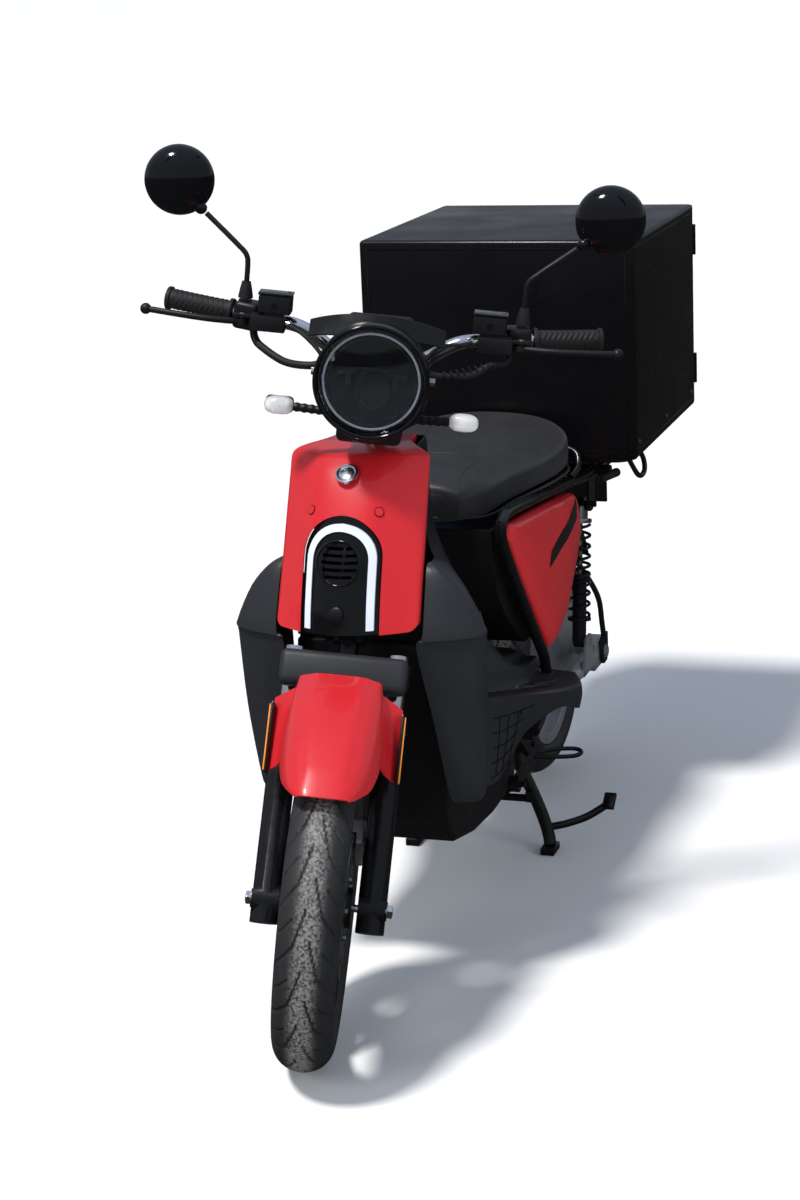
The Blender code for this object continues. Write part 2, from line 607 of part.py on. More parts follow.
lug_outline = [(0.095, 0.302), (0.238, 0.302), (0.240, 0.262), (0.284, 0.222), (0.284, 0.190), (0.242, 0.188),
               (0.180, 0.235), (0.095, 0.265)]
for side in (1, -1):
    lo, hi = sorted((side * 0.0895, side * 0.1010))
    frame = union(frame, prism(lug_outline, "X", lo, hi))
    # shock mounting plate with its pin
    lo, hi = sorted((side * 0.1395, side * 0.1450))
    frame = union(frame, prism([(0.558, 0.650), (0.558, 0.585), (0.568, 0.573), (0.588, 0.573), (0.600, 0.585), (0.612, 0.650)], "X", lo, hi))
    frame = union(frame, rod((side * 0.1080, SHOCK_U.y, SHOCK_U.z), (side * 0.1530, SHOCK_U.y, SHOCK_U.z), 0.0060, 8))
frame = union(frame, prism([(0.030, 0.190), (0.064, 0.190), (0.075, 0.240), (0.100, 0.290), (0.075, 0.298), (0.040, 0.235)], "X", 0.1105, 0.1170))
frame = union(frame, rod((0.1100, SIDE_STAND.y, SIDE_STAND.z), (0.1430, SIDE_STAND.y, SIDE_STAND.z), 0.0055, 8))
frame = cut(frame, fork(rod((0, 0, 0.66), (0, 0, 0.94), STEM_R + GAP + 0.0006, 16)))
for side in (1, -1):
    frame = cut(frame, rod((side * 0.08, PIVOT.y, PIVOT.z), (side * 0.11, PIVOT.y, PIVOT.z), 0.0070, 10),
                rod((side * 0.08, STAND.y, STAND.z), (side * 0.11, STAND.y, STAND.z), 0.0060, 10))
finish(frame, "frame", BLACK, "body", (0, 0, 0))

# rear rack below the box, with a luggage loop each side and four box feet
ring = [(0.170, 0.575, 0.676), (0.209, 0.585, 0.676), (0.2110, 0.64, 0.676), (0.2110, 0.90, 0.676), (0.200, 0.940, 0.676), (0.160, 0.950, 0.676)]
left = smooth_path(ring, 0.06)
loop = left + [Vector((-p.x, p.y, p.z)) for p in reversed(left)]
rack = pipe(loop, 0.0095, 2, cyclic=True)
for y in (0.66, 0.80):
    rack = union(rack, rod((-0.211, y, 0.676), (0.211, y, 0.676), 0.0075, 8))
for sx in (1, -1):
    rack = union(rack, pipe(smooth_path([(sx * 0.212, 0.598, 0.674), (sx * 0.2200, 0.604, 0.654), (sx * 0.2260, 0.618, 0.636), (sx * 0.2290, 0.637, 0.630),
                                         (sx * 0.2310, 0.656, 0.637), (sx * 0.2260, 0.670, 0.656), (sx * 0.2130, 0.678, 0.675)], 0.018), 0.0050, 1))
    for y in (0.66, 0.80):
        rack = union(rack, block((0.040, 0.030, 0.020), (sx * 0.150, y, 0.6862)))
    # stays down to the frame rails
    rack = union(rack, block((0.016, 0.030, 0.0160), (sx * 0.148, 0.66, 0.6665)))
for sx in (1, -1):
    rack = cut(rack, pipe(smooth_path([(sx * x, y, z) for x, y, z in tube], 0.09), SIDE_TUBE_R + 0.0014, 1))
finish(rack, "rear_rack", BLACK, "body", (0, 0.76, 0.676))

# ================================================================ swingarm
arm = rod((-0.0885, PIVOT.y, PIVOT.z), (0.0885, PIVOT.y, PIVOT.z), 0.0165, 12)
arm = union(arm, rod((-0.1060, PIVOT.y, PIVOT.z), (0.1060, PIVOT.y, PIVOT.z), 0.0060, 10))
for side in (1, -1):
    path = [(side * 0.066, PIVOT.y, PIVOT.z), (side * 0.068, 0.255, 0.273), (side * 0.072, 0.290, 0.272), (side * 0.095, 0.335, 0.270),
            (side * 0.118, 0.380, 0.269), (side * 0.1215, 0.440, 0.268), (side * 0.1215, 0.655, 0.268)]
    arm = union(arm, pipe(smooth_path(path, 0.09), 0.0165, 1))
    lo, hi = sorted((side * 0.1075, side * 0.1365))
    arm = union(arm, prism([(0.610, 0.242), (0.690, 0.242), (0.696, 0.268), (0.690, 0.294), (0.610, 0.294)], "X", lo, hi))
    lo, hi = sorted((side * 0.1370, side * 0.1415))
    arm = union(arm, prism([(0.500, 0.262), (0.590, 0.262), (0.560, 0.334), (0.532, 0.334)], "X", lo, hi),
                block((0.024, 0.060, 0.014), (side * 0.1300, 0.545, 0.2720)))
    arm = union(arm, rod((side * 0.1090, SHOCK_L.y, SHOCK_L.z), (side * 0.1470, SHOCK_L.y, SHOCK_L.z), 0.0060, 8))
arm = union(arm, rod((-0.150, REAR_AXLE.y, REAR_AXLE.z), (0.150, REAR_AXLE.y, REAR_AXLE.z), 0.0090, 14))
for side in (1, -1):
    arm = union(arm, rod((side * 0.1360, REAR_AXLE.y, REAR_AXLE.z), (side * 0.1460, REAR_AXLE.y, REAR_AXLE.z), 0.0140, 6))
finish(arm, "swingarm", CAST, "body", PIVOT)

# rear mudguard on stays from the axle
rows = []
for k in range(11):
    a = math.radians(-38 + 98 * k / 10)
    row = []
    for x, r in ((-0.058, 0.262), (-0.052, 0.2710), (-0.020, 0.2740), (0.020, 0.2740), (0.052, 0.2710), (0.058, 0.262)):
        row.append((x, REAR_AXLE.y + r * math.sin(a), REAR_AXLE.z + r * math.cos(a)))
    rows.append(row)
guard = sheet(rows, 0.003, 1.0)
for side in (1, -1):
    guard = union(guard, pipe(smooth_path([(side * 0.1425, 0.6650, 0.290), (side * 0.1425, 0.650, 0.330), (side * 0.1400, 0.628, 0.390), (side * 0.112, 0.612, 0.450),
                                           (side * 0.0720, 0.605, 0.510), (side * 0.0440, 0.602, 0.5300)], 0.04), 0.0055, 1))
    guard = union(guard, prism([(0.642, 0.302), (0.642, 0.258), (0.652, 0.246), (0.678, 0.246), (0.688, 0.258), (0.688, 0.302)], "X", *sorted((side * 0.1395, side * 0.1450))))
guard = cut(guard, rod((-0.16, REAR_AXLE.y, REAR_AXLE.z), (0.16, REAR_AXLE.y, REAR_AXLE.z), 0.0150, 14))
finish(guard, "rear_mudguard", PLASTIC, "body", REAR_AXLE)

# ================================================================ shocks
for side, tag in ((1, "left"), (-1, "right")):
    L = Vector((side * SHOCK_L.x, SHOCK_L.y, SHOCK_L.z))
    U = Vector((side * SHOCK_U.x, SHOCK_U.y, SHOCK_U.z))
    d = (U - L).normalized()
    length = (U - L).length
    low = rod(L - Vector((0.0095, 0, 0)), L + Vector((0.0095, 0, 0)), 0.0125, 12)
    low = union(low, rod(L + d * 0.004, L + d * 0.118, 0.0135, 12))
    low = union(low, rod(L + d * 0.040, L + d * 0.046, 0.0225, 14))
    low = cut(low, rod(L - Vector((0.02, 0, 0)), L + Vector((0.02, 0, 0)), 0.0070, 8),
              rod(L + d * 0.030, L + d * 0.13, 0.0064, 8))
    finish(low, "shock_body_" + tag, PLASTIC, "body", L)
    up = rod(U - Vector((0.0095, 0, 0)), U + Vector((0.0095, 0, 0)), 0.0125, 12)
    up = union(up, rod(U - d * 0.034, U - d * 0.004, 0.0150, 12), rod(U - d * 0.036, U - d * 0.030, 0.0225, 14),
               rod(U - d * 0.190, U - d * 0.010, 0.0052, 8))
    up = cut(up, rod(U - Vector((0.02, 0, 0)), U + Vector((0.02, 0, 0)), 0.0070, 8))
    finish(up, "shock_rod_" + tag, CHROME, "body", U)
    # coil spring
    turns, n = 6.0, 8
    s0, s1 = 0.0500, length - 0.0400
    ref = Vector((1, 0, 0))
    e2 = d.cross(ref).normalized()
    pts = []
    total = int(turns * n)
    for k in range(total + 1):
        a = 2 * math.pi * k / n
        s = s0 + (s1 - s0) * k / total
        pts.append(L + d * s + (ref * math.cos(a) + e2 * math.sin(a)) * 0.0190)
    finish(pipe(pts, 0.0032, 0), "shock_spring_" + tag, BLACK, "body", U)

# ================================================================ stands
st = rod((-0.0885, STAND.y, STAND.z), (0.0885, STAND.y, STAND.z), 0.0125, 12)
st = union(st, rod((-0.1050, STAND.y, STAND.z), (0.1050, STAND.y, STAND.z), 0.0050, 8))
for side in (1, -1):
    st = union(st, pipe(smooth_path([(side * 0.062, STAND.y, STAND.z), (side * 0.074, 0.263, 0.165), (side * 0.104, 0.264, 0.095), (side * 0.124, 0.262, 0.040),
                                     (side * 0.130, 0.256, 0.014)], 0.06), 0.0115, 2))
    st = union(st, block((0.026, 0.046, 0.0130), (side * 0.130, 0.254, 0.0065)))
st = union(st, rod((-0.103, 0.264, 0.098), (0.103, 0.264, 0.098), 0.0070, 8))
st = union(st, pipe(smooth_path([(0.124, 0.263, 0.044), (0.155, 0.276, 0.048), (0.190, 0.300, 0.056), (0.220, 0.320, 0.072)], 0.04), 0.0070, 1))
st = union(st, block((0.022, 0.034, 0.0080), (0.2270, 0.3260, 0.0800), Matrix.Rotation(math.radians(35), 4, "X")))
st = union(st, block((0.016, 0.016, 0.020), (0.0970, 0.2480, 0.1080)))
finish(st, "center_stand", BLACK, "body", STAND)

B = SIDE_STAND
ss = rod((0.1176, B.y, B.z), (0.1330, B.y, B.z), 0.0150, 14)
leg = prism([(B.y - 0.004, B.z - 0.012), (B.y + 0.100, B.z - 0.006), (B.y + 0.170, B.z + 0.002), (B.y + 0.172, B.z + 0.016), (B.y + 0.100, B.z + 0.012),
             (B.y - 0.004, B.z + 0.012)], "X", 0.1200, 0.1290)
ss = union(ss, leg)
ss = union(ss, pipe(smooth_path([(0.1250, B.y + 0.150, B.z + 0.007), (0.150, B.y + 0.178, B.z + 0.006), (0.185, B.y + 0.194, B.z + 0.004), (0.198, B.y + 0.190, B.z + 0.000),
                                 (0.190, B.y + 0.172, B.z - 0.002), (0.155, B.y + 0.150, B.z + 0.001), (0.1250, B.y + 0.135, B.z + 0.004)], 0.022), 0.0040, 1))
ss = cut(ss, rod((0.10, B.y, B.z), (0.15, B.y, B.z), 0.0064, 10))
finish(ss, "side_stand", BLACK, "body", B)


# ================================================================ front shield
def shield_y(x, z, off=0.0):
    yc = lerp([(0.60, -0.505), (0.66, -0.497), (0.73, -0.477), (0.80, -0.450), (0.857, -0.412), (0.874, -0.392)], z)
    ye = lerp([(0.60, -0.455), (0.623, -0.447), (0.73, -0.404), (0.848, -0.358), (0.874, -0.346)], z)
    w = shield_w(z)
    t = min(1.0, abs(x) / w)
    return yc + (ye - yc) * t ** 1.7 + off


def shield_w(z):
    return 0.1155 - (z - 0.62) * 0.014


rows = []
us = [-1, -0.84, -0.60, -0.30, 0.30, 0.60, 0.84, 1]
for z, back in ((0.6225, 0.020), (0.67, 0.020), (0.73, 0.020), (0.78, 0.020), (0.820, 0.020), (0.852, 0.018), (0.872, 0.014)):
    w = shield_w(z)
    rows.append([(-w + 0.002, shield_y(-w, z) + back, z - 0.001)] + [(u * w, shield_y(u * w, z), z) for u in us]
                + [(w - 0.002, shield_y(w, z) + back, z - 0.001)])
for z, y, bow, w, back, drop in ((0.8820, -0.376, 0.034, 0.1080, 0.008, 0.005), (0.8870, -0.350, 0.020, 0.1030, 0.003, 0.008),
                                 (0.8890, -0.300, 0.006, 0.0930, 0.0, 0.009), (0.8890, -0.250, 0.0, 0.0820, 0.0, 0.009)):
    rows.append([(-w - 0.001, y + bow + back, z - drop)] + [(u * w, y + bow * u * u, z) for u in us] + [(w + 0.001, y + bow + back, z - drop)])
shield = sheet(rows, 0.003, -1.0)


def arch(w, top, bottom, n=10):
    pts = [(-w, bottom)]
    for k in range(n + 1):
        a = math.pi - math.pi * k / n
        pts.append((w * math.cos(a), top - w + w * math.sin(a)))
    pts.append((w, bottom))
    return pts


shield = cut(shield, prism(arch(0.0640, 0.799, 0.600), "Y", -0.56, -0.42))
hole = fork(rod((0, 0.0, 0.94), (0, 0.0, 1.04), 0.040, 16))
shield = cut(shield, hole)
finish(shield, "front_shield", RED, "body", (0, -0.43, 0.75))


def shield_panel(off, thick, zs, wide):
    rows = []
    for z in zs:
        rows.append([(x, shield_y(x, z, off), z) for x in wide])
    return sheet(rows, thick, -1.0)


zs = [0.6230, 0.67, 0.73, 0.77, 0.805]
xs = [-0.068, -0.045, -0.015, 0.015, 0.045, 0.068]
arch_p = shield_panel(0.0048, 0.0030, zs, xs)
arch_p = common(arch_p, prism(arch(0.0634, 0.7984, 0.610), "Y", -0.56, -0.42))
# louvred horn grille
for k in range(-2, 3):
    hw = math.sqrt(0.030 ** 2 - (0.0105 * k) ** 2)
    arch_p = cut(arch_p, block((2 * hw, 0.08, 0.0050), (0, -0.48, 0.731 + 0.0105 * k)))
finish(arch_p, "arch_panel", PLASTIC, "body", (0, -0.47, 0.72))
band = cut(prism(arch(0.0560, 0.7885, 0.6300), "Y", -0.56, -0.42), prism(arch(0.0450, 0.7775, 0.6200), "Y", -0.57, -0.41))
drl = common(shield_panel(0.0006, 0.0028, zs, xs), band)
finish(drl, "drl_light", WHITE, "body", (0, -0.47, 0.72))

# ================================================================ leg shield
sect = [
    (0.714, [(0.1165, -0.389), (0.1185, -0.388), (0.1205, -0.386), (0.1185, -0.366), (0.1165, -0.352)]),
    (0.702, [(0.1185, -0.402), (0.1300, -0.400), (0.1420, -0.391), (0.1360, -0.352), (0.1260, -0.330)]),
    (0.668, [(0.1195, -0.417), (0.1470, -0.411), (0.1720, -0.393), (0.1600, -0.348), (0.1460, -0.316)]),
    (0.610, [(0.1190, -0.438), (0.1650, -0.421), (0.2010, -0.389), (0.1820, -0.330), (0.1600, -0.276)]),
    (0.590, [(0.1080, -0.436), (0.1600, -0.416), (0.2010, -0.386), (0.1820, -0.325), (0.1600, -0.262)]),
    (0.465, [(0.1230, -0.408), (0.1630, -0.399), (0.1960, -0.378), (0.1800, -0.312), (0.1620, -0.248)]),
    (0.345, [(0.1370, -0.388), (0.1630, -0.380), (0.1860, -0.362), (0.1740, -0.300), (0.1600, -0.248)]),
    (0.322, [(0.1420, -0.376), (0.1620, -0.370), (0.1790, -0.354), (0.1700, -0.298), (0.1580, -0.250)]),
]
wing = sheet([[(x, y, z) for x, y in pts] for z, pts in sect], 0.003, -1.0)
other = mirrored(wing)
bridge = block((0.3580, 0.016, 0.018), (0, -0.3070, 0.4400))
legs = union(bridge, wing, other)
finish(legs, "leg_shield", GREY, "body", (0, -0.36, 0.50))

# rider side of the leg shield
rows = []
for z, hw, yc in ((0.5560, 0.136, -0.2440), (0.600, 0.136, -0.2420), (0.650, 0.122, -0.2400), (0.700, 0.100, -0.2370), (0.740, 0.085, -0.2350), (0.800, 0.078, -0.2320),
                  (0.860, 0.076, -0.2290), (0.8830, 0.074, -0.2280)):
    fr = -0.030 if z < 0.69 else -0.080
    row = [(-hw - 0.010, yc + fr, z), (-hw, yc - 0.006, z)] + [(hw * u, yc, z) for u in (-0.85, -0.4, 0.4, 0.85)] + [(hw, yc - 0.006, z), (hw + 0.010, yc + fr, z)]
    rows.append(row)
inner_ls = sheet(rows, 0.003, 1.0)
finish(inner_ls, "inner_leg_shield", PLASTIC, "body", (0, -0.24, 0.70))

# black front underside and belly tub
outer_pts = [(-0.3440, 0.572), (-0.3480, 0.550), (-0.350, 0.450), (-0.350, 0.350), (-0.345, 0.275), (-0.310, 0.228), (-0.200, 0.205), (-0.080, 0.196),
             (0.000, 0.200), (0.026, 0.225), (0.026, 0.262), (-0.150, 0.262), (-0.235, 0.292), (-0.305, 0.365), (-0.3250, 0.450), (-0.3270, 0.572)]
tub = prism(outer_pts, "X", -0.122, 0.122)
inner_pts = [(-0.3405, 0.280), (-0.308, 0.232), (-0.200, 0.209), (-0.080, 0.200), (-0.001, 0.204), (0.022, 0.227), (0.022, 0.275), (-0.15, 0.275), (-0.225, 0.325),
             (-0.305, 0.405), (-0.3405, 0.405)]
tub = cut(tub, prism(inner_pts, "X", -0.118, 0.118))
finish(tub, "lower_front_cover", PLASTIC, "body", (0, -0.2, 0.25))

# ================================================================ floorboard
rows = []
fl = [  # y, tunnel top, tread height, rim x, rim z, skirt foot x, skirt foot z
    (-0.236, 0.545, 0.455, 0.1690, 0.4515, 0.1600, 0.300),
    (-0.170, 0.535, 0.437, 0.1780, 0.4350, 0.1600, 0.292),
    (-0.100, 0.520, 0.419, 0.1875, 0.4170, 0.1610, 0.306),
    (-0.030, 0.500, 0.401, 0.1970, 0.3990, 0.1670, 0.325),
    (0.040, 0.458, 0.383, 0.2065, 0.3815, 0.1840, 0.333),
    (0.100, 0.422, 0.372, 0.2145, 0.3680, 0.2000, 0.333),
    (0.150, 0.408, 0.368, 0.2230, 0.3620, 0.2180, 0.316),
    (0.205, 0.404, 0.368, 0.2020, 0.3640, 0.1990, 0.312),
]
for y, zt, ztr, xr, zr, xb, zb in fl:
    halfrow = [(0.0, zt), (0.080, zt), (0.104, zt - 0.012), (0.128, ztr + 0.014 + 0.25 * (zt - ztr)), (0.140, ztr + 0.003), (xr - 0.014, zr + 0.002), (xr - 0.003, zr),
               (xr, zr - 0.006), ((xr + xb) / 2 + 0.003, (zr + zb) / 2), (xb, zb)]
    rows.append([(-x, y, z) for x, z in reversed(halfrow[1:])] + [(x, y, z) for x, z in halfrow])
floor = sheet(rows, 0.0035, -1.0)
for s in (1, -1):
    floor = cut(floor, pipe(smooth_path([(s * SIDE_TUBE_X, 0.130, 0.292), (s * SIDE_TUBE_X, 0.150, 0.300), (s * SIDE_TUBE_X, 0.187, 0.345),
                                         (s * SIDE_TUBE_X, 0.185, 0.392), (s * SIDE_TUBE_X, 0.140, 0.442)], 0.05), 0.0150, 2))
finish(floor, "floorboard", GREY, "body", (0, 0, 0.40))

# ================================================================ under-seat body
hp = [(-0.075, 0.690), (-0.070, 0.640), (-0.035, 0.560), (0.000, 0.5250), (0.060, 0.4800), (0.120, 0.4430), (0.340, 0.4300), (0.420, 0.500), (0.4300, 0.6500), (0.4300, 0.683)]
hpi = [(-0.069, 0.720), (-0.066, 0.641), (-0.031, 0.563), (0.002, 0.5290), (0.062, 0.4840), (0.121, 0.4470), (0.338, 0.4340), (0.416, 0.502), (0.4260, 0.650), (0.4260, 0.720)]
house = prism(hp, "X", -0.130, 0.130)
house = cut(house, prism(hpi, "X", -0.1265, 0.1265))
house = cut(house, rod((-0.16, 0.440, 0.6630), (0.16, 0.440, 0.6630), 0.0120, 10))
finish(house, "battery_housing", PLASTIC, "body", (0, 0.18, 0.55))
pack = block((0.210, 0.300, 0.180), (0, 0.2250, 0.5700), bevel=0.008, seg=1)
pack = union(pack, block((0.110, 0.024, 0.020), (0, 0.2250, 0.6680), bevel=0.004, seg=1))
finish(pack, "battery_pack", CELL, "body", (0, 0.225, 0.57))

# red side panels: a crowned shell inside each side tube's loop
outline = [(-0.052, 0.674), (-0.042, 0.690), (-0.020, 0.6915), (0.100, 0.6815), (0.250, 0.6660), (0.350, 0.6545), (0.405, 0.6400), (0.432, 0.600), (0.436, 0.562),
           (0.375, 0.500), (0.300, 0.445), (0.240, 0.4180), (0.196, 0.4160), (0.158, 0.4500), (0.046, 0.5680), (-0.034, 0.6560)]
cx = sum(p[0] for p in outline) / len(outline)
cy = sum(p[1] for p in outline) / len(outline)
for side, tag in ((1, "left"), (-1, "right")):
    rings = []
    for f, x in ((1.0, 0.1500), (0.94, 0.1590), (0.75, 0.1660), (0.30, 0.1700)):
        rings.append([(side * x, cx + (py - cx) * f, cy + (pz - cy) * f) for py, pz in outline])
    bm = bmesh.new()
    vr = [[bm.verts.new(Vector(p)) for p in r] for r in rings]
    n = len(outline)
    for a, b in zip(vr, vr[1:]):
        for j in range(n):
            bm.faces.new((a[j], a[(j + 1) % n], b[(j + 1) % n], b[j]))
    bm.faces.new(vr[-1])
    ob = as_obj(bm)
    so = ob.modifiers.new("Solidify", "SOLIDIFY")
    so.thickness = 0.003
    so.offset = -1.0 if side > 0 else 1.0
    so.use_even_offset = True
    ob = weld(evaluated(ob))
    finish(ob, "side_panel_" + tag, RED, "body", (side * 0.15, 0.2, 0.56))

# ================================================================ seat
secs = []
for y, hw, zb, zt in ((-0.100, 0.060, 0.7120, 0.7500), (-0.088, 0.090, 0.7060, 0.7640), (-0.040, 0.120, 0.7020, 0.7760), (0.060, 0.1335, 0.7030, 0.7750), (0.150, 0.152, 0.7040, 0.7730),
                      (0.250, 0.164, 0.7000, 0.7790), (0.340, 0.160, 0.6945, 0.7890), (0.400, 0.142, 0.6920, 0.7910), (0.432, 0.118, 0.6960, 0.7830), (0.440, 0.095, 0.7050, 0.7720)):
    ring = []
    for k in range(20):
        a = 2 * math.pi * (k + 0.5) / 20
        ca, sa = math.cos(a), math.sin(a)
        px = hw * math.copysign(abs(ca) ** 0.62, ca)
        hz = (zt - zb) / 2
        pz = (zt + zb) / 2 + hz * math.copysign(abs(sa) ** 0.55, sa)
        ring.append((px, y, pz))
    secs.append(ring)
finish(loft(secs), "seat", VINYL, "body", SEAT_HINGE)

# ================================================================ delivery box
bx = block((BOX_W, BOX_Y1 + 0.020 - BOX_Y0, BOX_H), (0, (BOX_Y0 + BOX_Y1 + 0.020) / 2, BOX_Z0 + BOX_H / 2), bevel=0.008, seg=1)
bx = cut(bx, block((0.6, 0.06, 0.5), (0, BOX_Y1 - 0.0100 + 0.030, BOX_Z0 + BOX_H / 2)))
bx = cut(bx, block((BOX_W - 2 * BOX_WALL, 0.60, BOX_H - 2 * BOX_WALL), (0, BOX_Y0 + BOX_WALL + 0.30, BOX_Z0 + BOX_H / 2)))
finish(bx, "box_shell", BOXMAT, "body", (0, 0.73, BOX_Z0))
BACK = BOX_Y1 - 0.010
HINGE = Vector((BOX_W / 2 - 0.004, BACK + 0.0006 + DOOR_T + 0.0050, BOX_Z0 + BOX_H / 2))
door = block((BOX_W - 0.004, DOOR_T, BOX_H - 0.004), (0, BACK + 0.0006 + DOOR_T / 2, BOX_Z0 + BOX_H / 2), bevel=0.004, seg=1)
for dz in (-0.13, 0.13):
    door = union(door, rod((HINGE.x, HINGE.y, HINGE.z + dz - 0.03), (HINGE.x, HINGE.y, HINGE.z + dz + 0.03), 0.0060, 10),
                 block((0.030, 0.006, 0.056), (HINGE.x - 0.016, HINGE.y - 0.0035, HINGE.z + dz)))
door = cut(door, rod((-0.205, BACK - 0.02, 0.90), (-0.205, BACK + 0.05, 0.90), 0.0068, 12))
finish(door, "box_door", BOXMAT, "body", HINGE)
lx = -0.205
yf = BACK + 0.0006 + DOOR_T
latch = rod((lx, yf - 0.0120, 0.90), (lx, yf + 0.006, 0.90), 0.0060, 10)
latch = union(latch, rod((lx, yf + 0.0006, 0.90), (lx, yf + 0.0070, 0.90), 0.0140, 14), block((0.014, 0.008, 0.062), (lx, yf + 0.0085, 0.8900), bevel=0.003, seg=1))
finish(latch, "box_latch", STEEL, "body", (lx, yf, 0.90))

# ================================================================ tail
pb = block((0.060, 0.0200, 0.060), (0, 0.9250, 0.6330))
pb = union(pb, block((0.180, 0.0060, 0.130), (0, 0.9360, 0.5700)), block((0.260, 0.014, 0.012), (0, 0.9280, 0.6380)),
           block((0.120, 0.030, 0.034), (0, 0.9450, 0.6460), bevel=0.006, seg=1))
for side in (1, -1):
    pb = union(pb, block((0.040, 0.026, 0.028), (side * 0.1450, 0.9300, 0.6360), bevel=0.009, seg=1))
finish(pb, "tail_bracket", PLASTIC, "body", (0, 0.93, 0.62))

for ob in list(TEMP.objects):
    bpy.data.objects.remove(ob, do_unlink=True)
bpy.data.collections.remove(TEMP)
bpy.context.view_layer.update()
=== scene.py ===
"""Visual model of the moped scooter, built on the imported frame.

Frame of reference of the drawing: X rider's left, the front wheel at -Y, ground at
z = 0; steered pieces are drawn straight ahead and turned with the steering.
"""
import json
import math
import bmesh
import bpy
import numpy as np
from mathutils import Matrix, Vector, noise

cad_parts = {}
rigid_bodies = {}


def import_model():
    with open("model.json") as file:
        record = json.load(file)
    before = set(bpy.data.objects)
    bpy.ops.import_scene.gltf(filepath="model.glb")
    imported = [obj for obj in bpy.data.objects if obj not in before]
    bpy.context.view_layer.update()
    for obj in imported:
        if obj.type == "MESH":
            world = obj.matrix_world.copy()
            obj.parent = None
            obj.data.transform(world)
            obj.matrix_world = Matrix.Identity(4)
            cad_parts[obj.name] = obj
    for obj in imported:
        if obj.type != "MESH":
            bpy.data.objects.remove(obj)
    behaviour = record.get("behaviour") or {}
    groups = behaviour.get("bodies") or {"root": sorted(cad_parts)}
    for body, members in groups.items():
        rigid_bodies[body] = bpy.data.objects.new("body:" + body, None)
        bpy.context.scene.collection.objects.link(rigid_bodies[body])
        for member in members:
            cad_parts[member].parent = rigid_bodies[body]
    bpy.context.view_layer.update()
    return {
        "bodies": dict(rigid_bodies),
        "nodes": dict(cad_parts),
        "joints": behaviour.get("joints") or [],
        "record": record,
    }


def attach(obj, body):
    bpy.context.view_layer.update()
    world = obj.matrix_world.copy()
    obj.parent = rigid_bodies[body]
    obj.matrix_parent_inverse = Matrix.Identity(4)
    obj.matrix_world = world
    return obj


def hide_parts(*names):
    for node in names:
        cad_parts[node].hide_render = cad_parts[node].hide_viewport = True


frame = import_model()
BODY = {n: b for b, ns in frame["record"]["behaviour"]["bodies"].items() for n in ns}

OX, OY = 0.0371, 0.06265               # origin of the part in the drawing frame
WHEEL_R = 0.250                 # tyre outer radius
TYRE_HALF = 0.046               # half of the tyre section width
AXLE_Y = 0.665                  # half of the wheelbase
FRONT_DROP = 0.0000             # lowers the front axle so that the tyre meets the ground
REAR_LIFT = 0.018               # rear wheel off the ground on the centre stand
RAKE = math.radians(28.0)       # steering axis from the vertical
STEER_FOOT = Vector((0.0, -0.753, 0.0))   # steering axis at ground height
STEER_REST = math.radians(16.0)  # steering turned to the left at rest
FORK_X = 0.080                  # half distance of the fork legs
FORK_O = 0.0397                 # fork legs ahead of the steering axis
AXLE_S = 0.262                  # front axle along the steering axis
STEM_R = 0.0155
STANCHION_R = 0.015
LEG_R = 0.022
BAR_R = 0.011
GRIP_R = 0.0165
SIDE_TUBE_X = 0.148
SIDE_TUBE_R = 0.010
BOX_W, BOX_H = 0.520, 0.405
BOX_Y0, BOX_Y1, BOX_Z0 = 0.458, 1.0138, 0.697
BOX_WALL = 0.005
DOOR_T = 0.0135
PIVOT = Vector((0.0, 0.215, 0.275))        # swingarm pivot
STAND = Vector((0.0, 0.262, 0.205))        # centre stand pivot
SIDE_STAND = Vector((0.131, 0.047, 0.204))  # side stand bolt
SHOCK_L = Vector((0.122, 0.545, 0.322))    # lower shock eye
SHOCK_U = Vector((0.122, 0.578, 0.585))    # upper shock eye
SEAT_HINGE = Vector((0.0, -0.080, 0.700))
GAP = 0.0004


scene = bpy.context.scene
TEMP = bpy.data.collections.new("working")
scene.collection.children.link(TEMP)
AXIS_A = Vector((0.0, math.sin(RAKE), math.cos(RAKE)))
FORK_M = Matrix.Translation(STEER_FOOT) @ Matrix.Rotation(-RAKE, 4, "X")
M_BODY = Matrix.Translation((-OX, -OY, 0.0))
M_STEER = M_BODY @ Matrix.Translation(STEER_FOOT) @ Matrix.Rotation(STEER_REST, 4, AXIS_A) @ Matrix.Translation(-STEER_FOOT)


# ---------------------------------------------------------------- camera and materials
def look():
    yaw, pitch, roll = math.radians(18.1638), math.radians(-15.1453), math.radians(-2.4343)
    fwd = Vector((-math.sin(yaw) * math.cos(pitch), math.cos(yaw) * math.cos(pitch), math.sin(pitch)))
    r = Vector((math.cos(yaw), math.sin(yaw), 0.0))
    u = r.cross(fwd)
    r2 = r * math.cos(roll) + u * math.sin(roll)
    u2 = -r * math.sin(roll) + u * math.cos(roll)
    m = Matrix((r2, u2, -fwd)).transposed().to_4x4()
    m.translation = Vector((1.2645 - OX, -4.0307 - OY, 1.6912))
    cam = bpy.data.cameras.new("camera")
    cam.lens = 76.44
    cam.sensor_width = 36.0
    cam.sensor_fit = "AUTO"
    ob = bpy.data.objects.new("camera", cam)
    ob.matrix_world = m
    scene.collection.objects.link(ob)
    scene.camera = ob


look()


def nodes_of(m):
    m.use_nodes = True
    nt = m.node_tree
    return nt, nt.nodes["Principled BSDF"]


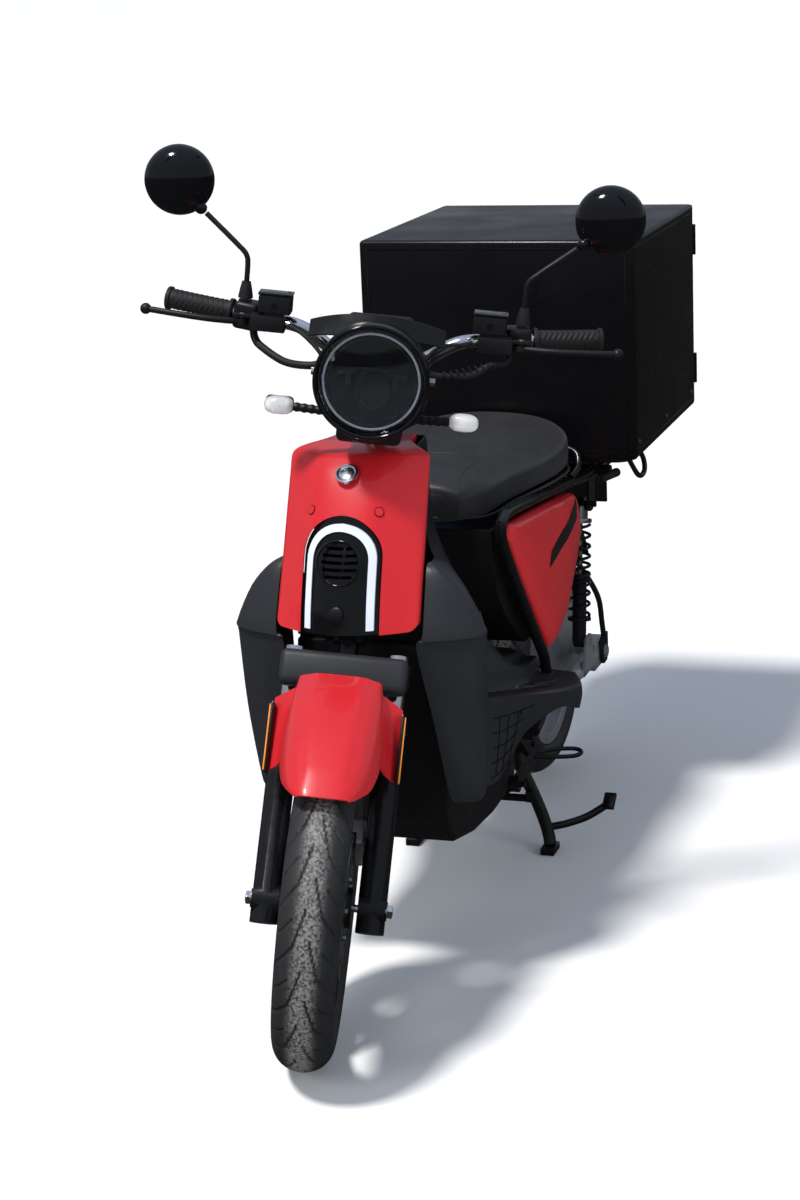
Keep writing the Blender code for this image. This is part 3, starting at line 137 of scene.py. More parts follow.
def mat(name, base, rough, metal=0.0, coat=0.0, coat_rough=0.04, var=0.18, scale=9.0, grain=420.0,
        bump=0.12, depth=0.0004, rvar=0.08, spec=0.5, specks=0.0, cell=False, sheen=0.0):
    """Colour drift, roughness drift and fine surface grain, all from noise."""
    m = bpy.data.materials.new(name)
    nt, b = nodes_of(m)
    N, L = nt.nodes, nt.links
    tc = N.new("ShaderNodeTexCoord")
    n1 = N.new("ShaderNodeTexNoise")
    n1.inputs["Scale"].default_value = scale
    n1.inputs["Detail"].default_value = 6.0
    n1.inputs["Roughness"].default_value = 0.6
    L.new(tc.outputs["Object"], n1.inputs["Vector"])
    ramp = N.new("ShaderNodeValToRGB")
    lo = [max(0.0, c * (1 - var)) for c in base]
    hi = [min(1.0, c * (1 + var)) for c in base]
    ramp.color_ramp.elements[0].position = 0.32
    ramp.color_ramp.elements[1].position = 0.68
    ramp.color_ramp.elements[0].color = (*lo, 1)
    ramp.color_ramp.elements[1].color = (*hi, 1)
    L.new(n1.outputs["Fac"], ramp.inputs["Fac"])
    col = ramp.outputs["Color"]
    n2 = N.new("ShaderNodeTexNoise")
    n2.inputs["Scale"].default_value = scale * 3.7
    n2.inputs["Detail"].default_value = 8.0
    L.new(tc.outputs["Object"], n2.inputs["Vector"])
    mr = N.new("ShaderNodeMapRange")
    mr.inputs["From Min"].default_value = 0.3
    mr.inputs["From Max"].default_value = 0.7
    mr.inputs["To Min"].default_value = max(0.02, rough - rvar)
    mr.inputs["To Max"].default_value = min(1.0, rough + rvar)
    L.new(n2.outputs["Fac"], mr.inputs["Value"])
    L.new(mr.outputs["Result"], b.inputs["Roughness"])
    if specks > 0:
        n4 = N.new("ShaderNodeTexNoise")
        n4.inputs["Scale"].default_value = 900.0
        L.new(tc.outputs["Object"], n4.inputs["Vector"])
        r4 = N.new("ShaderNodeValToRGB")
        r4.color_ramp.elements[0].position = 0.60
        r4.color_ramp.elements[1].position = 0.72
        r4.color_ramp.elements[0].color = (0, 0, 0, 1)
        r4.color_ramp.elements[1].color = (specks, specks, specks, 1)
        L.new(n4.outputs["Fac"], r4.inputs["Fac"])
        mx = N.new("ShaderNodeMix")
        mx.data_type = "RGBA"
        mx.inputs[7].default_value = (min(1, base[0] * 2.2 + 0.05), base[1] * 2.2 + 0.03, base[2] * 2.2 + 0.03, 1)
        L.new(r4.outputs["Color"], mx.inputs[0])
        L.new(col, mx.inputs[6])
        col = mx.outputs[2]
    L.new(col, b.inputs["Base Color"])
    if bump > 0:
        if cell:
            n3 = N.new("ShaderNodeTexVoronoi")
            n3.inputs["Scale"].default_value = grain
            out = n3.outputs["Distance"]
        else:
            n3 = N.new("ShaderNodeTexNoise")
            n3.inputs["Scale"].default_value = grain
            n3.inputs["Detail"].default_value = 3.0
            out = n3.outputs["Fac"]
        L.new(tc.outputs["Object"], n3.inputs["Vector"])
        bp = N.new("ShaderNodeBump")
        bp.inputs["Strength"].default_value = bump
        bp.inputs["Distance"].default_value = depth
        L.new(out, bp.inputs["Height"])
        L.new(bp.outputs["Normal"], b.inputs["Normal"])
    b.inputs["Metallic"].default_value = metal
    b.inputs["Coat Weight"].default_value = coat
    b.inputs["Coat Roughness"].default_value = coat_rough
    b.inputs["Specular IOR Level"].default_value = spec
    b.inputs["Sheen Weight"].default_value = sheen
    m.diffuse_color = (*base, 1.0)
    return m


def glass(name, tint=(1, 1, 1), rough=0.02, ior=1.45):
    m = mat(name, tint, rough, var=0.01, bump=0.0, grain=60, rvar=0.0)
    b = m.node_tree.nodes["Principled BSDF"]
    b.inputs["Transmission Weight"].default_value = 1.0
    b.inputs["IOR"].default_value = ior
    return m


BLACK = mat("black_paint", (0.0045, 0.0045, 0.0050), 0.28, coat=0.12, coat_rough=0.10, grain=260, bump=0.08, spec=0.30)
PLASTIC = mat("black_plastic", (0.0060, 0.0060, 0.0068), 0.44, grain=700, bump=0.22, depth=0.0003, spec=0.26)
GLOSSBLK = mat("gloss_black", (0.0028, 0.0028, 0.0034), 0.10, coat=0.12, coat_rough=0.03, bump=0.02, rvar=0.03, spec=0.30)
RED = mat("red_paint", (0.460, 0.0130, 0.0180), 0.34, coat=0.45, coat_rough=0.05, var=0.05, scale=3.0,
          grain=90, bump=0.02, depth=0.0006, rvar=0.05, specks=0.20, spec=0.30)
GREY = mat("dark_grey_plastic", (0.0165, 0.0172, 0.0205), 0.46, grain=900, bump=0.35, depth=0.00035, var=0.12, scale=4.0, spec=0.32)
CHROME = mat("chrome", (0.78, 0.78, 0.80), 0.14, metal=1.0, var=0.05, bump=0.03, rvar=0.07)
STEEL = mat("steel", (0.42, 0.42, 0.43), 0.34, metal=1.0, scale=24, bump=0.15, grain=300)
CAST = mat("cast_aluminium", (0.46, 0.47, 0.48), 0.46, metal=0.85, scale=14, grain=520, bump=0.45, depth=0.0006)
RUBBER = mat("rubber", (0.0095, 0.0095, 0.010), 0.60, grain=600, bump=0.3, depth=0.0004, spec=0.25)
LENS = glass("clear_lens", (0.34, 0.36, 0.41), 0.0)
INDLENS = mat("indicator_lens", (0.52, 0.52, 0.52), 0.16, coat=1.0, cell=True, grain=180, bump=0.5, depth=0.001, var=0.14, scale=60)
WHITE = mat("white_lens", (0.60, 0.64, 0.74), 0.20, coat=0.5, var=0.04, bump=0.05)
VINYL = mat("seat_vinyl", (0.0115, 0.0115, 0.0130), 0.46, cell=True, grain=520, bump=0.30, depth=0.0005, var=0.15, scale=5.0, sheen=0.05, spec=0.32)
REDLENS = mat("red_lens", (0.50, 0.012, 0.012), 0.12, coat=1.0, cell=True, grain=160, bump=0.35, depth=0.001)
AMBER = mat("amber_lens", (0.80, 0.24, 0.02), 0.14, coat=1.0, cell=True, grain=160, bump=0.35, depth=0.001)
BOXMAT = mat("box_panel", (0.0026, 0.0026, 0.0032), 0.30, coat=0.05, coat_rough=0.16, grain=160, bump=0.10, depth=0.0008, var=0.25, scale=2.5, rvar=0.08, spec=0.20)
CELL = mat("battery_case", (0.07, 0.09, 0.16), 0.5, grain=500, bump=0.25)
PLATE = mat("plate_white", (0.78, 0.78, 0.76), 0.35, bump=0.05, var=0.04)
GLASS_M = mat("mirror_glass", (0.86, 0.88, 0.90), 0.03, metal=1.0, var=0.02, bump=0.0, rvar=0.01)
SCREEN = mat("display_glass", (0.01, 0.014, 0.02), 0.08, coat=0.6, var=0.1, bump=0.0, rvar=0.02)
HALO = mat("halo_ring", (0.85, 0.87, 0.90), 0.18, coat=0.6, var=0.06, bump=0.04)
SMOKE = mat("smoked_chrome", (0.035, 0.036, 0.040), 0.22, metal=0.9, var=0.1, bump=0.02)
BOWL = mat("headlight_inside", (0.0012, 0.0013, 0.0018), 0.95, bump=0.0, rvar=0.0, spec=0.0)
# painted shade: near-black matte for the skirt grooves and the gaps round the shield plugs
GROOVE_SHADE = mat("groove_shadow", (0.0045, 0.0045, 0.0050), 0.75, spec=0.1)

# ---------------------------------------------------------------- mesh tools
def as_obj(bm, name="tmp"):
    me = bpy.data.meshes.new(name)
    bm.to_mesh(me)
    bm.free()
    ob = bpy.data.objects.new(name, me)
    TEMP.objects.link(ob)
    return ob


def evaluated(ob):
    bpy.context.view_layer.update()
    dg = bpy.context.evaluated_depsgraph_get()
    me = bpy.data.meshes.new_from_object(ob.evaluated_get(dg))
    me.transform(ob.matrix_world)
    bpy.data.objects.remove(ob, do_unlink=True)
    new = bpy.data.objects.new("tmp", me)
    TEMP.objects.link(new)
    return new


def weld(ob, dist=0.00005):
    bm = bmesh.new()
    bm.from_mesh(ob.data)
    bmesh.ops.remove_doubles(bm, verts=bm.verts, dist=dist)
    bmesh.ops.recalc_face_normals(bm, faces=bm.faces)
    bm.to_mesh(ob.data)
    bm.free()
    return ob


def transform(ob, m):
    ob.data.transform(m)
    return ob


def fork(ob):
    return transform(ob, FORK_M)


def block(size, loc, rot=None, bevel=0.0, seg=2):
    seg = 4 if bevel > 0.003 else 2
    if bevel <= 0:
        bevel = min(0.0012, 0.12 * min(size))
    bm = bmesh.new()
    bmesh.ops.create_cube(bm, size=1.0)
    bmesh.ops.scale(bm, vec=Vector(size), verts=bm.verts)
    if bevel > 0:
        bmesh.ops.bevel(bm, geom=list(bm.edges), offset=bevel, segments=seg,
                        affect="EDGES", profile=0.5)
    ob = as_obj(bm)
    m = Matrix.Translation(Vector(loc))
    if rot is not None:
        m = m @ rot
    return transform(ob, m)


def axis_matrix(p0, p1):
    p0, p1 = Vector(p0), Vector(p1)
    d = p1 - p0
    q = Vector((0, 0, 1)).rotation_difference(d.normalized())
    return Matrix.Translation((p0 + p1) / 2) @ q.to_matrix().to_4x4(), d.length


def rod(p0, p1, r, seg=20, r2=None):
    seg = seg if seg <= 6 else (28 if r < 0.008 else 44)
    m, length = axis_matrix(p0, p1)
    bm = bmesh.new()
    bmesh.ops.create_cone(bm, cap_ends=True, segments=seg, radius1=r,
                          radius2=r if r2 is None else r2, depth=length)
    return transform(as_obj(bm), m)


def ball(loc, r, u=14, v=8, scale=(1, 1, 1)):
    u, v = 28, 16
    bm = bmesh.new()
    bmesh.ops.create_uvsphere(bm, u_segments=u, v_segments=v, radius=r)
    bmesh.ops.scale(bm, vec=Vector(scale), verts=bm.verts)
    return transform(as_obj(bm), Matrix.Translation(Vector(loc)))


def smooth_path(pts, step):
    """Catmull-Rom points through pts, finer than `step` metres apart."""
    step = max(0.004, step * 0.22)
    P = [Vector(p) for p in pts]
    P = [P[0] * 2 - P[1]] + P + [P[-1] * 2 - P[-2]]
    out = [P[1].copy()]
    for i in range(1, len(P) - 2):
        a, b, c, d = P[i - 1], P[i], P[i + 1], P[i + 2]
        n = max(1, int(round((c - b).length / step)))
        for k in range(1, n + 1):
            t = k / n
            out.append(0.5 * ((2 * b) + (c - a) * t + (2 * a - 5 * b + 4 * c - d) * t * t
                              + (3 * b - a - 3 * c + d) * t ** 3))
    return out


def pipe(pts, r, res=2, cyclic=False):
    cu = bpy.data.curves.new("pipe", "CURVE")
    cu.dimensions = "3D"
    cu.bevel_depth = r
    cu.bevel_resolution = 4 if r < 0.006 else 7
    cu.use_fill_caps = not cyclic
    sp = cu.splines.new("POLY")
    sp.points.add(len(pts) - 1)
    for p, q in zip(sp.points, pts):
        p.co = (*q, 1.0)
    sp.use_cyclic_u = cyclic
    ob = bpy.data.objects.new("pipe", cu)
    TEMP.objects.link(ob)
    return weld(evaluated(ob))


def turned(profile, steps=32, axis="Z", closed=False):
    """Profile of (radius, height) points, turned with a Screw modifier."""
    steps = steps * 3
    me = bpy.data.meshes.new("turned")
    n = len(profile)
    edges = [(i, i + 1) for i in range(n - 1)] + ([(n - 1, 0)] if closed else [])
    me.from_pydata([(r, 0.0, h) for r, h in profile], edges, [])
    ob = bpy.data.objects.new("turned", me)
    TEMP.objects.link(ob)
    sc = ob.modifiers.new("Screw", "SCREW")
    sc.steps = sc.render_steps = steps
    sc.use_merge_vertices = True
    sc.merge_threshold = 0.00005
    sc.use_normal_calculate = True
    ob = weld(evaluated(ob))
    if axis == "X":
        transform(ob, Matrix.Rotation(math.radians(90), 4, "Y"))
    elif axis == "-Y":
        transform(ob, Matrix.Rotation(math.radians(90), 4, "X"))
    elif axis == "Y":
        transform(ob, Matrix.Rotation(math.radians(-90), 4, "X"))
    return ob


def prism(outline, axis, lo, hi):
    """Flat outline extruded along an axis; (a, b) are the other two axes."""
    cu = bpy.data.curves.new("outline", "CURVE")
    cu.dimensions = "2D"
    cu.fill_mode = "BOTH"
    cu.extrude = (hi - lo) / 2
    sp = cu.splines.new("POLY")
    sp.points.add(len(outline) - 1)
    for p, q in zip(sp.points, outline):
        p.co = (q[0], q[1], 0.0, 1.0)
    sp.use_cyclic_u = True
    ob = bpy.data.objects.new("outline", cu)
    TEMP.objects.link(ob)
    ob = weld(evaluated(ob))
    mid = (lo + hi) / 2
    cols = {"X": ((0, 1, 0), (0, 0, 1), (1, 0, 0)),
            "Y": ((1, 0, 0), (0, 0, 1), (0, -1, 0)),
            "Z": ((1, 0, 0), (0, 1, 0), (0, 0, 1))}[axis]
    rot = Matrix((cols[0], cols[1], cols[2])).transposed().to_4x4()
    shift = {"X": (mid, 0, 0), "Y": (0, mid, 0), "Z": (0, 0, mid)}[axis]
    return weld(transform(ob, Matrix.Translation(shift) @ rot))


def spline(P, n):
    """Catmull-Rom through the points, n steps in each span."""
    P = [Vector(p) for p in P]
    if n <= 1:
        return P
    Q = [P[0] * 2 - P[1]] + P + [P[-1] * 2 - P[-2]]
    out = [P[0].copy()]
    for i in range(1, len(Q) - 2):
        a, b, c, d = Q[i - 1], Q[i], Q[i + 1], Q[i + 2]
        for k in range(1, n + 1):
            t = k / n
            out.append(0.5 * ((2 * b) + (c - a) * t + (2 * a - 5 * b + 4 * c - d) * t * t
                              + (3 * b - a - 3 * c + d) * t ** 3))
    return out


def dense(rows, n, m):
    rows = [spline(r, m) for r in rows]
    cols = [spline([r[j] for r in rows], n) for j in range(len(rows[0]))]
    return [[c[i] for c in cols] for i in range(len(cols[0]))]


def sheet(rows, thick, offset=-1.0, close=False, fine=(1, 1)):
    """Grid of points made into a shell of the given thickness."""
    rows = dense(rows, *fine)
    bm = bmesh.new()
    grid = [[bm.verts.new(Vector(p)) for p in row] for row in rows]
    n = len(rows[0])
    for i in range(len(rows) - 1):
        for j in range(n if close else n - 1):
            a, b = grid[i][j], grid[i][(j + 1) % n]
            c, d = grid[i + 1][(j + 1) % n], grid[i + 1][j]
            bm.faces.new((a, b, c, d))
    ob = as_obj(bm)
    so = ob.modifiers.new("Solidify", "SOLIDIFY")
    so.thickness = thick
    so.offset = offset
    so.use_even_offset = True
    so.thickness_clamp = 0.0
    return weld(evaluated(ob))


def loft(sections):
    """Closed rings joined side by side and capped."""
    bm = bmesh.new()
    rings = [[bm.verts.new(Vector(p)) for p in s] for s in sections]
    n = len(rings[0])
    for a, b in zip(rings, rings[1:]):
        for j in range(n):
            bm.faces.new((a[j], a[(j + 1) % n], b[(j + 1) % n], b[j]))
    bm.faces.new(rings[0])
    bm.faces.new(list(reversed(rings[-1])))
    bmesh.ops.recalc_face_normals(bm, faces=bm.faces)
    return as_obj(bm)


def boolean(a, b, op):
    md = a.modifiers.new("Boolean", "BOOLEAN")
    md.operation = op
    md.solver = "EXACT"
    md.object = b
    out = evaluated(a)
    bpy.data.objects.remove(b, do_unlink=True)
    return weld(out, 0.00002)


def union(first, *rest):
    for o in rest:
        first = boolean(first, o, "UNION")
    return first


def cut(first, *rest):
    for o in rest:
        first = boolean(first, o, "DIFFERENCE")
    return first


def common(first, other):
    return boolean(first, other, "INTERSECT")


def copy(ob):
    new = bpy.data.objects.new("tmp", ob.data.copy())
    TEMP.objects.link(new)
    return new


def mirrored(ob):
    return weld(transform(copy(ob), Matrix.Scale(-1, 4, (1, 0, 0))), 0.000001)



def lerp(table, x):
    """Piecewise straight line through (x, y) pairs."""
    if x <= table[0][0]:
        return table[0][1]
    for (x0, y0), (x1, y1) in zip(table, table[1:]):
        if x <= x1:
            return y0 + (y1 - y0) * (x - x0) / (x1 - x0)
    return table[-1][1]




ROUND = {"box_shell": 0.0034, "box_door": 0.003, "front_fender": 0.0008}


def finish(ob, name, mat_, group="body", origin=(0, 0, 0), sharp=32):
    """Turn a drawn piece into the visible piece that stands for a node."""
    if name.startswith("indicator_"):
        bpy.data.objects.remove(ob, do_unlink=True)
        return None
    return show(ob, "v_" + name, mat_, BODY[name], group, sharp, ROUND.get(name, 0.0006), (name,))


def show(ob, name, mat_, body, group="body", sharp=32, bev=0.0, nodes=()):
    ob.data.transform(M_BODY if group == "body" else M_STEER)
    bm = bmesh.new()
    bm.from_mesh(ob.data)
    bmesh.ops.remove_doubles(bm, verts=bm.verts, dist=0.00002)
    bmesh.ops.recalc_face_normals(bm, faces=bm.faces)
    bm.to_mesh(ob.data)
    bm.free()
    ob.name = name
    ob.data.name = name
    TEMP.objects.unlink(ob)
    scene.collection.objects.link(ob)
    ob.data.materials.clear()
    ob.data.materials.append(mat_)
    for p in ob.data.polygons:
        p.material_index = 0
    ob.data.shade_smooth()
    ob.data.set_sharp_from_angle(angle=math.radians(sharp))
    if bev > 0:
        md = ob.modifiers.new("Bevel", "BEVEL")
        md.width = bev
        md.segments = 2
        md.limit_method = "ANGLE"
        md.angle_limit = math.radians(34)
        md.use_clamp_overlap = True
    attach(ob, body)
    if nodes:
        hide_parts(*nodes)
    return ob


def curve(pts, r, n=8):
    """Round tube through points on a smooth path."""
    return pipe(spline(pts, n), r)


# ================================================================ wheels
def rim_ring(centre):
    prof = [(0.190, -0.036), (0.190, -0.0332), (0.1790, -0.0330), (0.1790, 0.0330),
            (0.190, 0.0332), (0.190, 0.036), (0.172, 0.0335), (0.172, -0.0335)]
    return turned(prof, 26, "X", closed=True)


FRONT_AXLE = FORK_M @ Vector((0.0, -FORK_O, AXLE_S))
FRONT_AXLE.z -= FRONT_DROP
REAR_AXLE = Vector((0.0, AXLE_Y, WHEEL_R + REAR_LIFT))


# cast front wheel: rim ring, five spokes and a bored hub
ring = rim_ring(FRONT_AXLE)
hub = rod((-0.050, 0, 0), (0.050, 0, 0), 0.031, 16)
star = hub
for k in range(5):
    a = math.radians(90 + 72 * k)
    arm = block((0.022, 0.028, 0.149), (0, 0, 0.0985))
    transform(arm, Matrix.Rotation(a, 4, "X"))
    star = union(star, arm)
wheel = union(ring, star)
wheel = cut(wheel, rod((-0.06, 0, 0), (0.06, 0, 0), 0.0068, 12))
transform(wheel, Matrix.Translation(FRONT_AXLE))
finish(wheel, "front_rim", BLACK, "steer", FRONT_AXLE)

disc = turned([(0.110, 0.0420), (0.110, 0.0385), (0.0316, 0.0385), (0.0316, 0.0420)], 28, "X", closed=True)
transform(disc, Matrix.Translation(FRONT_AXLE))
finish(disc, "front_disc", STEEL, "steer", FRONT_AXLE)

# rear wheel with the hub motor
ring = rim_ring(REAR_AXLE)
drum = turned([(0.0105, 0.076), (0.060, 0.076), (0.110, 0.056), (0.112, 0.014), (0.1735, 0.010),
               (0.1735, -0.010), (0.112, -0.014), (0.110, -0.056), (0.060, -0.076), (0.0105, -0.076)], 26, "X", closed=True)
motor = union(ring, drum)
transform(motor, Matrix.Translation(REAR_AXLE))
finish(motor, "hub_motor", CAST, "body", REAR_AXLE)

# ================================================================ fork
for side, tag in ((1, "left"), (-1, "right")):
    x = side * FORK_X
    leg = rod((x, -FORK_O, AXLE_S - 0.036), (x, -FORK_O, 0.546), LEG_R, 16)
    lug = rod((x - 0.0205, -FORK_O, AXLE_S), (x + 0.0205, -FORK_O, AXLE_S), 0.0235, 14)
    leg = union(leg, lug)
    leg = cut(leg, rod((x, -FORK_O, 0.340), (x, -FORK_O, 0.56), STANCHION_R + GAP + 0.0004, 16),
              rod((x - 0.03, -FORK_O, AXLE_S), (x + 0.03, -FORK_O, AXLE_S), 0.0066, 10))
    finish(fork(leg), "fork_lower_" + tag, BLACK, "steer", FORK_M @ Vector((x, -FORK_O, AXLE_S)))
    st = rod((x, -FORK_O, 0.400), (x, -FORK_O, 0.652), STANCHION_R, 16)
    finish(fork(st), "stanchion_" + tag, CHROME, "steer", FORK_M @ Vector((x, -FORK_O, 0.60)))

# axle with a nut at each end
ax = rod((-0.112, -FORK_O, AXLE_S), (0.112, -FORK_O, AXLE_S), 0.006, 10)
ax = union(ax, rod((0.1028, -FORK_O, AXLE_S), (0.1110, -FORK_O, AXLE_S), 0.011, 6),
           rod((-0.1110, -FORK_O, AXLE_S), (-0.1028, -FORK_O, AXLE_S), 0.011, 6))
finish(fork(ax), "front_axle", CHROME, "steer", FRONT_AXLE)

# stem, lower clamp and handlebar riser
stem = rod((0, 0, 0.602), (0, 0, 1.086), STEM_R, 16)
clamp = rod((0, 0, 0.602), (0, 0, 0.6395), 0.028, 16)
plate = block((0.150, 0.040, 0.034), (0, -0.026, 0.620))
clamp = union(clamp, plate)
for side in (1, -1):
    clamp = union(clamp, rod((side * FORK_X, -FORK_O, 0.602), (side * FORK_X, -FORK_O, 0.6395), 0.0205, 16))
for side in (1, -1):
    clamp = cut(clamp, rod((side * FORK_X, -FORK_O, 0.59), (side * FORK_X, -FORK_O, 0.66), STANCHION_R + GAP + 0.0003, 16))
riser = block((0.052, 0.084, 0.070), (0, -0.030, 1.105), bevel=0.006, seg=1)
stem = union(stem, clamp, riser)
BAR_C = Vector((0, -0.275, 1.012))
bar_local = FORK_M.inverted() @ BAR_C
stem = cut(stem, rod((-0.05, bar_local.y, bar_local.z), (0.05, bar_local.y, bar_local.z), BAR_R + 0.0010, 14))
finish(fork(stem), "steering_stem", BLACK, "steer", STEER_FOOT + AXIS_A * 0.8)

# padded cover in front of the lower clamp
cov = block((0.196, 0.036, 0.056), (0, -0.0820, 0.612), bevel=0.012, seg=2)
finish(fork(cov), "fork_cover", GREY, "steer", FORK_M @ Vector((0, -0.08, 0.612)))

# ---- brake caliper on the left leg, behind the leg, straddling the disc
cal = block((0.0370, 0.044, 0.072), (0.0388, -0.5800, 0.322), Matrix.Rotation(math.radians(38), 4, "X"), bevel=0.005, seg=1)
slot = turned([(0.116, 0.0448), (0.116, 0.0357), (0.02, 0.0357), (0.02, 0.0448)], 28, "X", closed=True)
transform(slot, Matrix.Translation(FRONT_AXLE))
cal = cut(cal, slot)
finish(cal, "brake_caliper", CAST, "steer", (0.0388, -0.58, 0.322))

# ================================================================ handlebar
G0 = Vector((0.235, -0.2585, 1.0630))
GD = Vector((0.110, 0.0215, 0.0080)).normalized()


def on_bar(x, side=1):
    p = G0 + GD * ((x - G0.x) / GD.x)
    return Vector((side * p.x, p.y, p.z))


halfbar = [(0.000, -0.275, 1.012), (0.038, -0.275, 1.012), (0.062, -0.2765, 1.0165), (0.083, -0.280, 1.028),
           (0.104, -0.2830, 1.0430), (0.126, -0.2820, 1.0530)] + [tuple(on_bar(v)) for v in (0.150, 0.20, 0.27, 0.338)]
pts = [(-x, y, z) for x, y, z in reversed(halfbar[1:])] + halfbar
finish(pipe(smooth_path(pts, 0.030), BAR_R, 2), "handlebar", CHROME, "steer", BAR_C)


def bar_frame(side):
    """Rotation whose local x lies along the bar."""
    d = Vector((side * GD.x, GD.y, GD.z))
    q = Vector((side, 0, 0)).rotation_difference(d)
    return q.to_matrix().to_4x4()


for side, tag in ((1, "left"), (-1, "right")):
    # switch pod, master cylinder and fluid reservoir
    c = on_bar(0.2120, side)
    rot = bar_frame(side)
    pod = block((0.040, 0.046, 0.044), c, rot, bevel=0.008, seg=1)
    pod = union(pod, rod(on_bar(0.2125, side) + Vector((side * 0.006, -0.002, 0.016)),
                         on_bar(0.2125, side) + Vector((side * 0.006, -0.002, 0.0235)), 0.0105, 16))
    body = block((0.055, 0.022, 0.024), (side * 0.1775, -0.2985, 1.0570))
    res = block((0.052, 0.036, 0.030), (side * 0.1680, -0.2900, 1.0880), bevel=0.004, seg=1)
    neck = block((0.030, 0.018, 0.014), (side * 0.1680, -0.2965, 1.0715))
    lug = block((0.040, 0.018, 0.0050), (side * 0.2125, -0.2975, 1.0660))
    web = block((0.010, 0.024, 0.010), (side * 0.1990, -0.2860, 1.0660))
    pod = union(pod, body, neck, res, lug, web)
    pod = cut(pod, rod(on_bar(0.13, side), on_bar(0.26, side), BAR_R + 0.0008, 14))
    if side > 0:
        pod = cut(pod, rod((0.2100, -0.2340, 1.0660), (0.2100, -0.2460, 1.0660), 0.0062, 16),
                  block((0.0150, 0.0120, 0.0064), (0.2125, -0.2400, 1.0500)))
    finish(pod, "control_" + tag, PLASTIC, "steer", c)

    # brake lever with a ball end
    P = Vector((side * 0.2185, -0.2980, 1.0560))
    lever = pipe(smooth_path([(side * 0.2185, -0.2980, 1.0560), (side * 0.240, -0.3070, 1.0568), (side * 0.275, -0.3115, 1.058),
                              (side * 0.320, -0.3085, 1.0600), (side * 0.366, -0.3015, 1.0618)], 0.030), 0.0050, 1)
    lever = union(lever, rod(P - Vector((0, 0, 0.0046)), P + Vector((0, 0, 0.0046)), 0.0090, 12),
                  ball((side * 0.3690, -0.3010, 1.0620), 0.0088, 10, 6))
    finish(lever, "brake_lever_" + tag, PLASTIC, "steer", P)

    # mirror stalk with its foot, and the centre of the round mirror head
    F = on_bar(0.2125, side) + Vector((side * 0.006, -0.002, 0.0))
    F0, F1 = Vector((F.x, F.y, 1.0872)), Vector((F.x, F.y, 1.1130))
    foot = rod(F0, F1, 0.0100, 12, 0.0070)
    stalk = pipe(smooth_path([(F.x, F.y, 1.105), (F.x, F.y, 1.140), (F.x + side * 0.003, F.y, 1.155), (F.x + side * 0.016, F.y + 0.002, 1.168),
                              (side * 0.2900, -0.2520, 1.2120)], 0.018), 0.0042, 1)
    head_c = Vector((side * 0.3375, -0.2465, 1.2580))
    stalk = union(foot, stalk)
    finish(stalk, "mirror_stalk_" + tag, PLASTIC, "steer", F0)
    # turn indicator: a plain lens and stalk, which finish throws away; the indicator is drawn with the grips
    lens = block((0.046, 0.026, 0.028), (side * 0.1420, -0.3810, 0.9480), bevel=0.0120, seg=2)
    arm = rod((side * 0.0500, -0.3840, 0.9450), (side * 0.1250, -0.3815, 0.9475), 0.0060, 10)
    finish(union(lens, arm), "indicator_" + tag, WHITE, "steer", (side * 0.142, -0.381, 0.948))

# horn button and turn switch in the left pod (they face the rider)
hb = rod((0.2100, -0.2350, 1.0660), (0.2100, -0.2430, 1.0660), 0.0058, 16)
hb = union(hb, rod((0.2100, -0.2315, 1.0660), (0.2100, -0.2360, 1.0660), 0.0052, 16))
finish(hb, "horn_button", RED, "steer", (0.2100, -0.235, 1.066))
ts = block((0.0060, 0.0110, 0.0056), (0.2125, -0.2385, 1.0500), bevel=0.001, seg=1)
finish(ts, "turn_switch", WHITE, "steer", (0.2125, -0.2385, 1.05))

# ---- headlight: bucket and lens
HL = Vector((0.0, -0.470, 1.014))
shell = turned([(0.0, 0.0), (0.0850, 0.0), (0.0875, -0.0120), (0.0860, -0.0500), (0.0780, -0.0850),
                (0.0600, -0.1180), (0.0380, -0.1380), (0.0, -0.1430)], 28, "-Y")
transform(shell, Matrix.Translation(HL))
neck = block((0.090, 0.078, 0.040), (0, -0.3745, 0.9400), Matrix.Rotation(math.radians(-14), 4, "X"), bevel=0.010, seg=1)
inner = turned([(0.0, 0.0200), (0.0822, 0.0200), (0.0822, -0.0500), (0.0740, -0.0830), (0.0560, -0.1150), (0.0350, -0.1340),
                (0.0, -0.1390)], 28, "-Y")
transform(inner, Matrix.Translation(HL))
shell = union(shell, neck)
shell = cut(shell, inner)
finish(shell, "headlight_shell", BLACK, "steer", HL)
lens = turned([(0.0, 0.0030), (0.040, 0.0015), (0.0806, -0.0050), (0.0806, -0.0140),
               (0.040, -0.0035), (0.0, -0.0020)], 28, "-Y")
transform(lens, Matrix.Translation(HL))
finish(lens, "headlight_lens", LENS, "steer", HL)
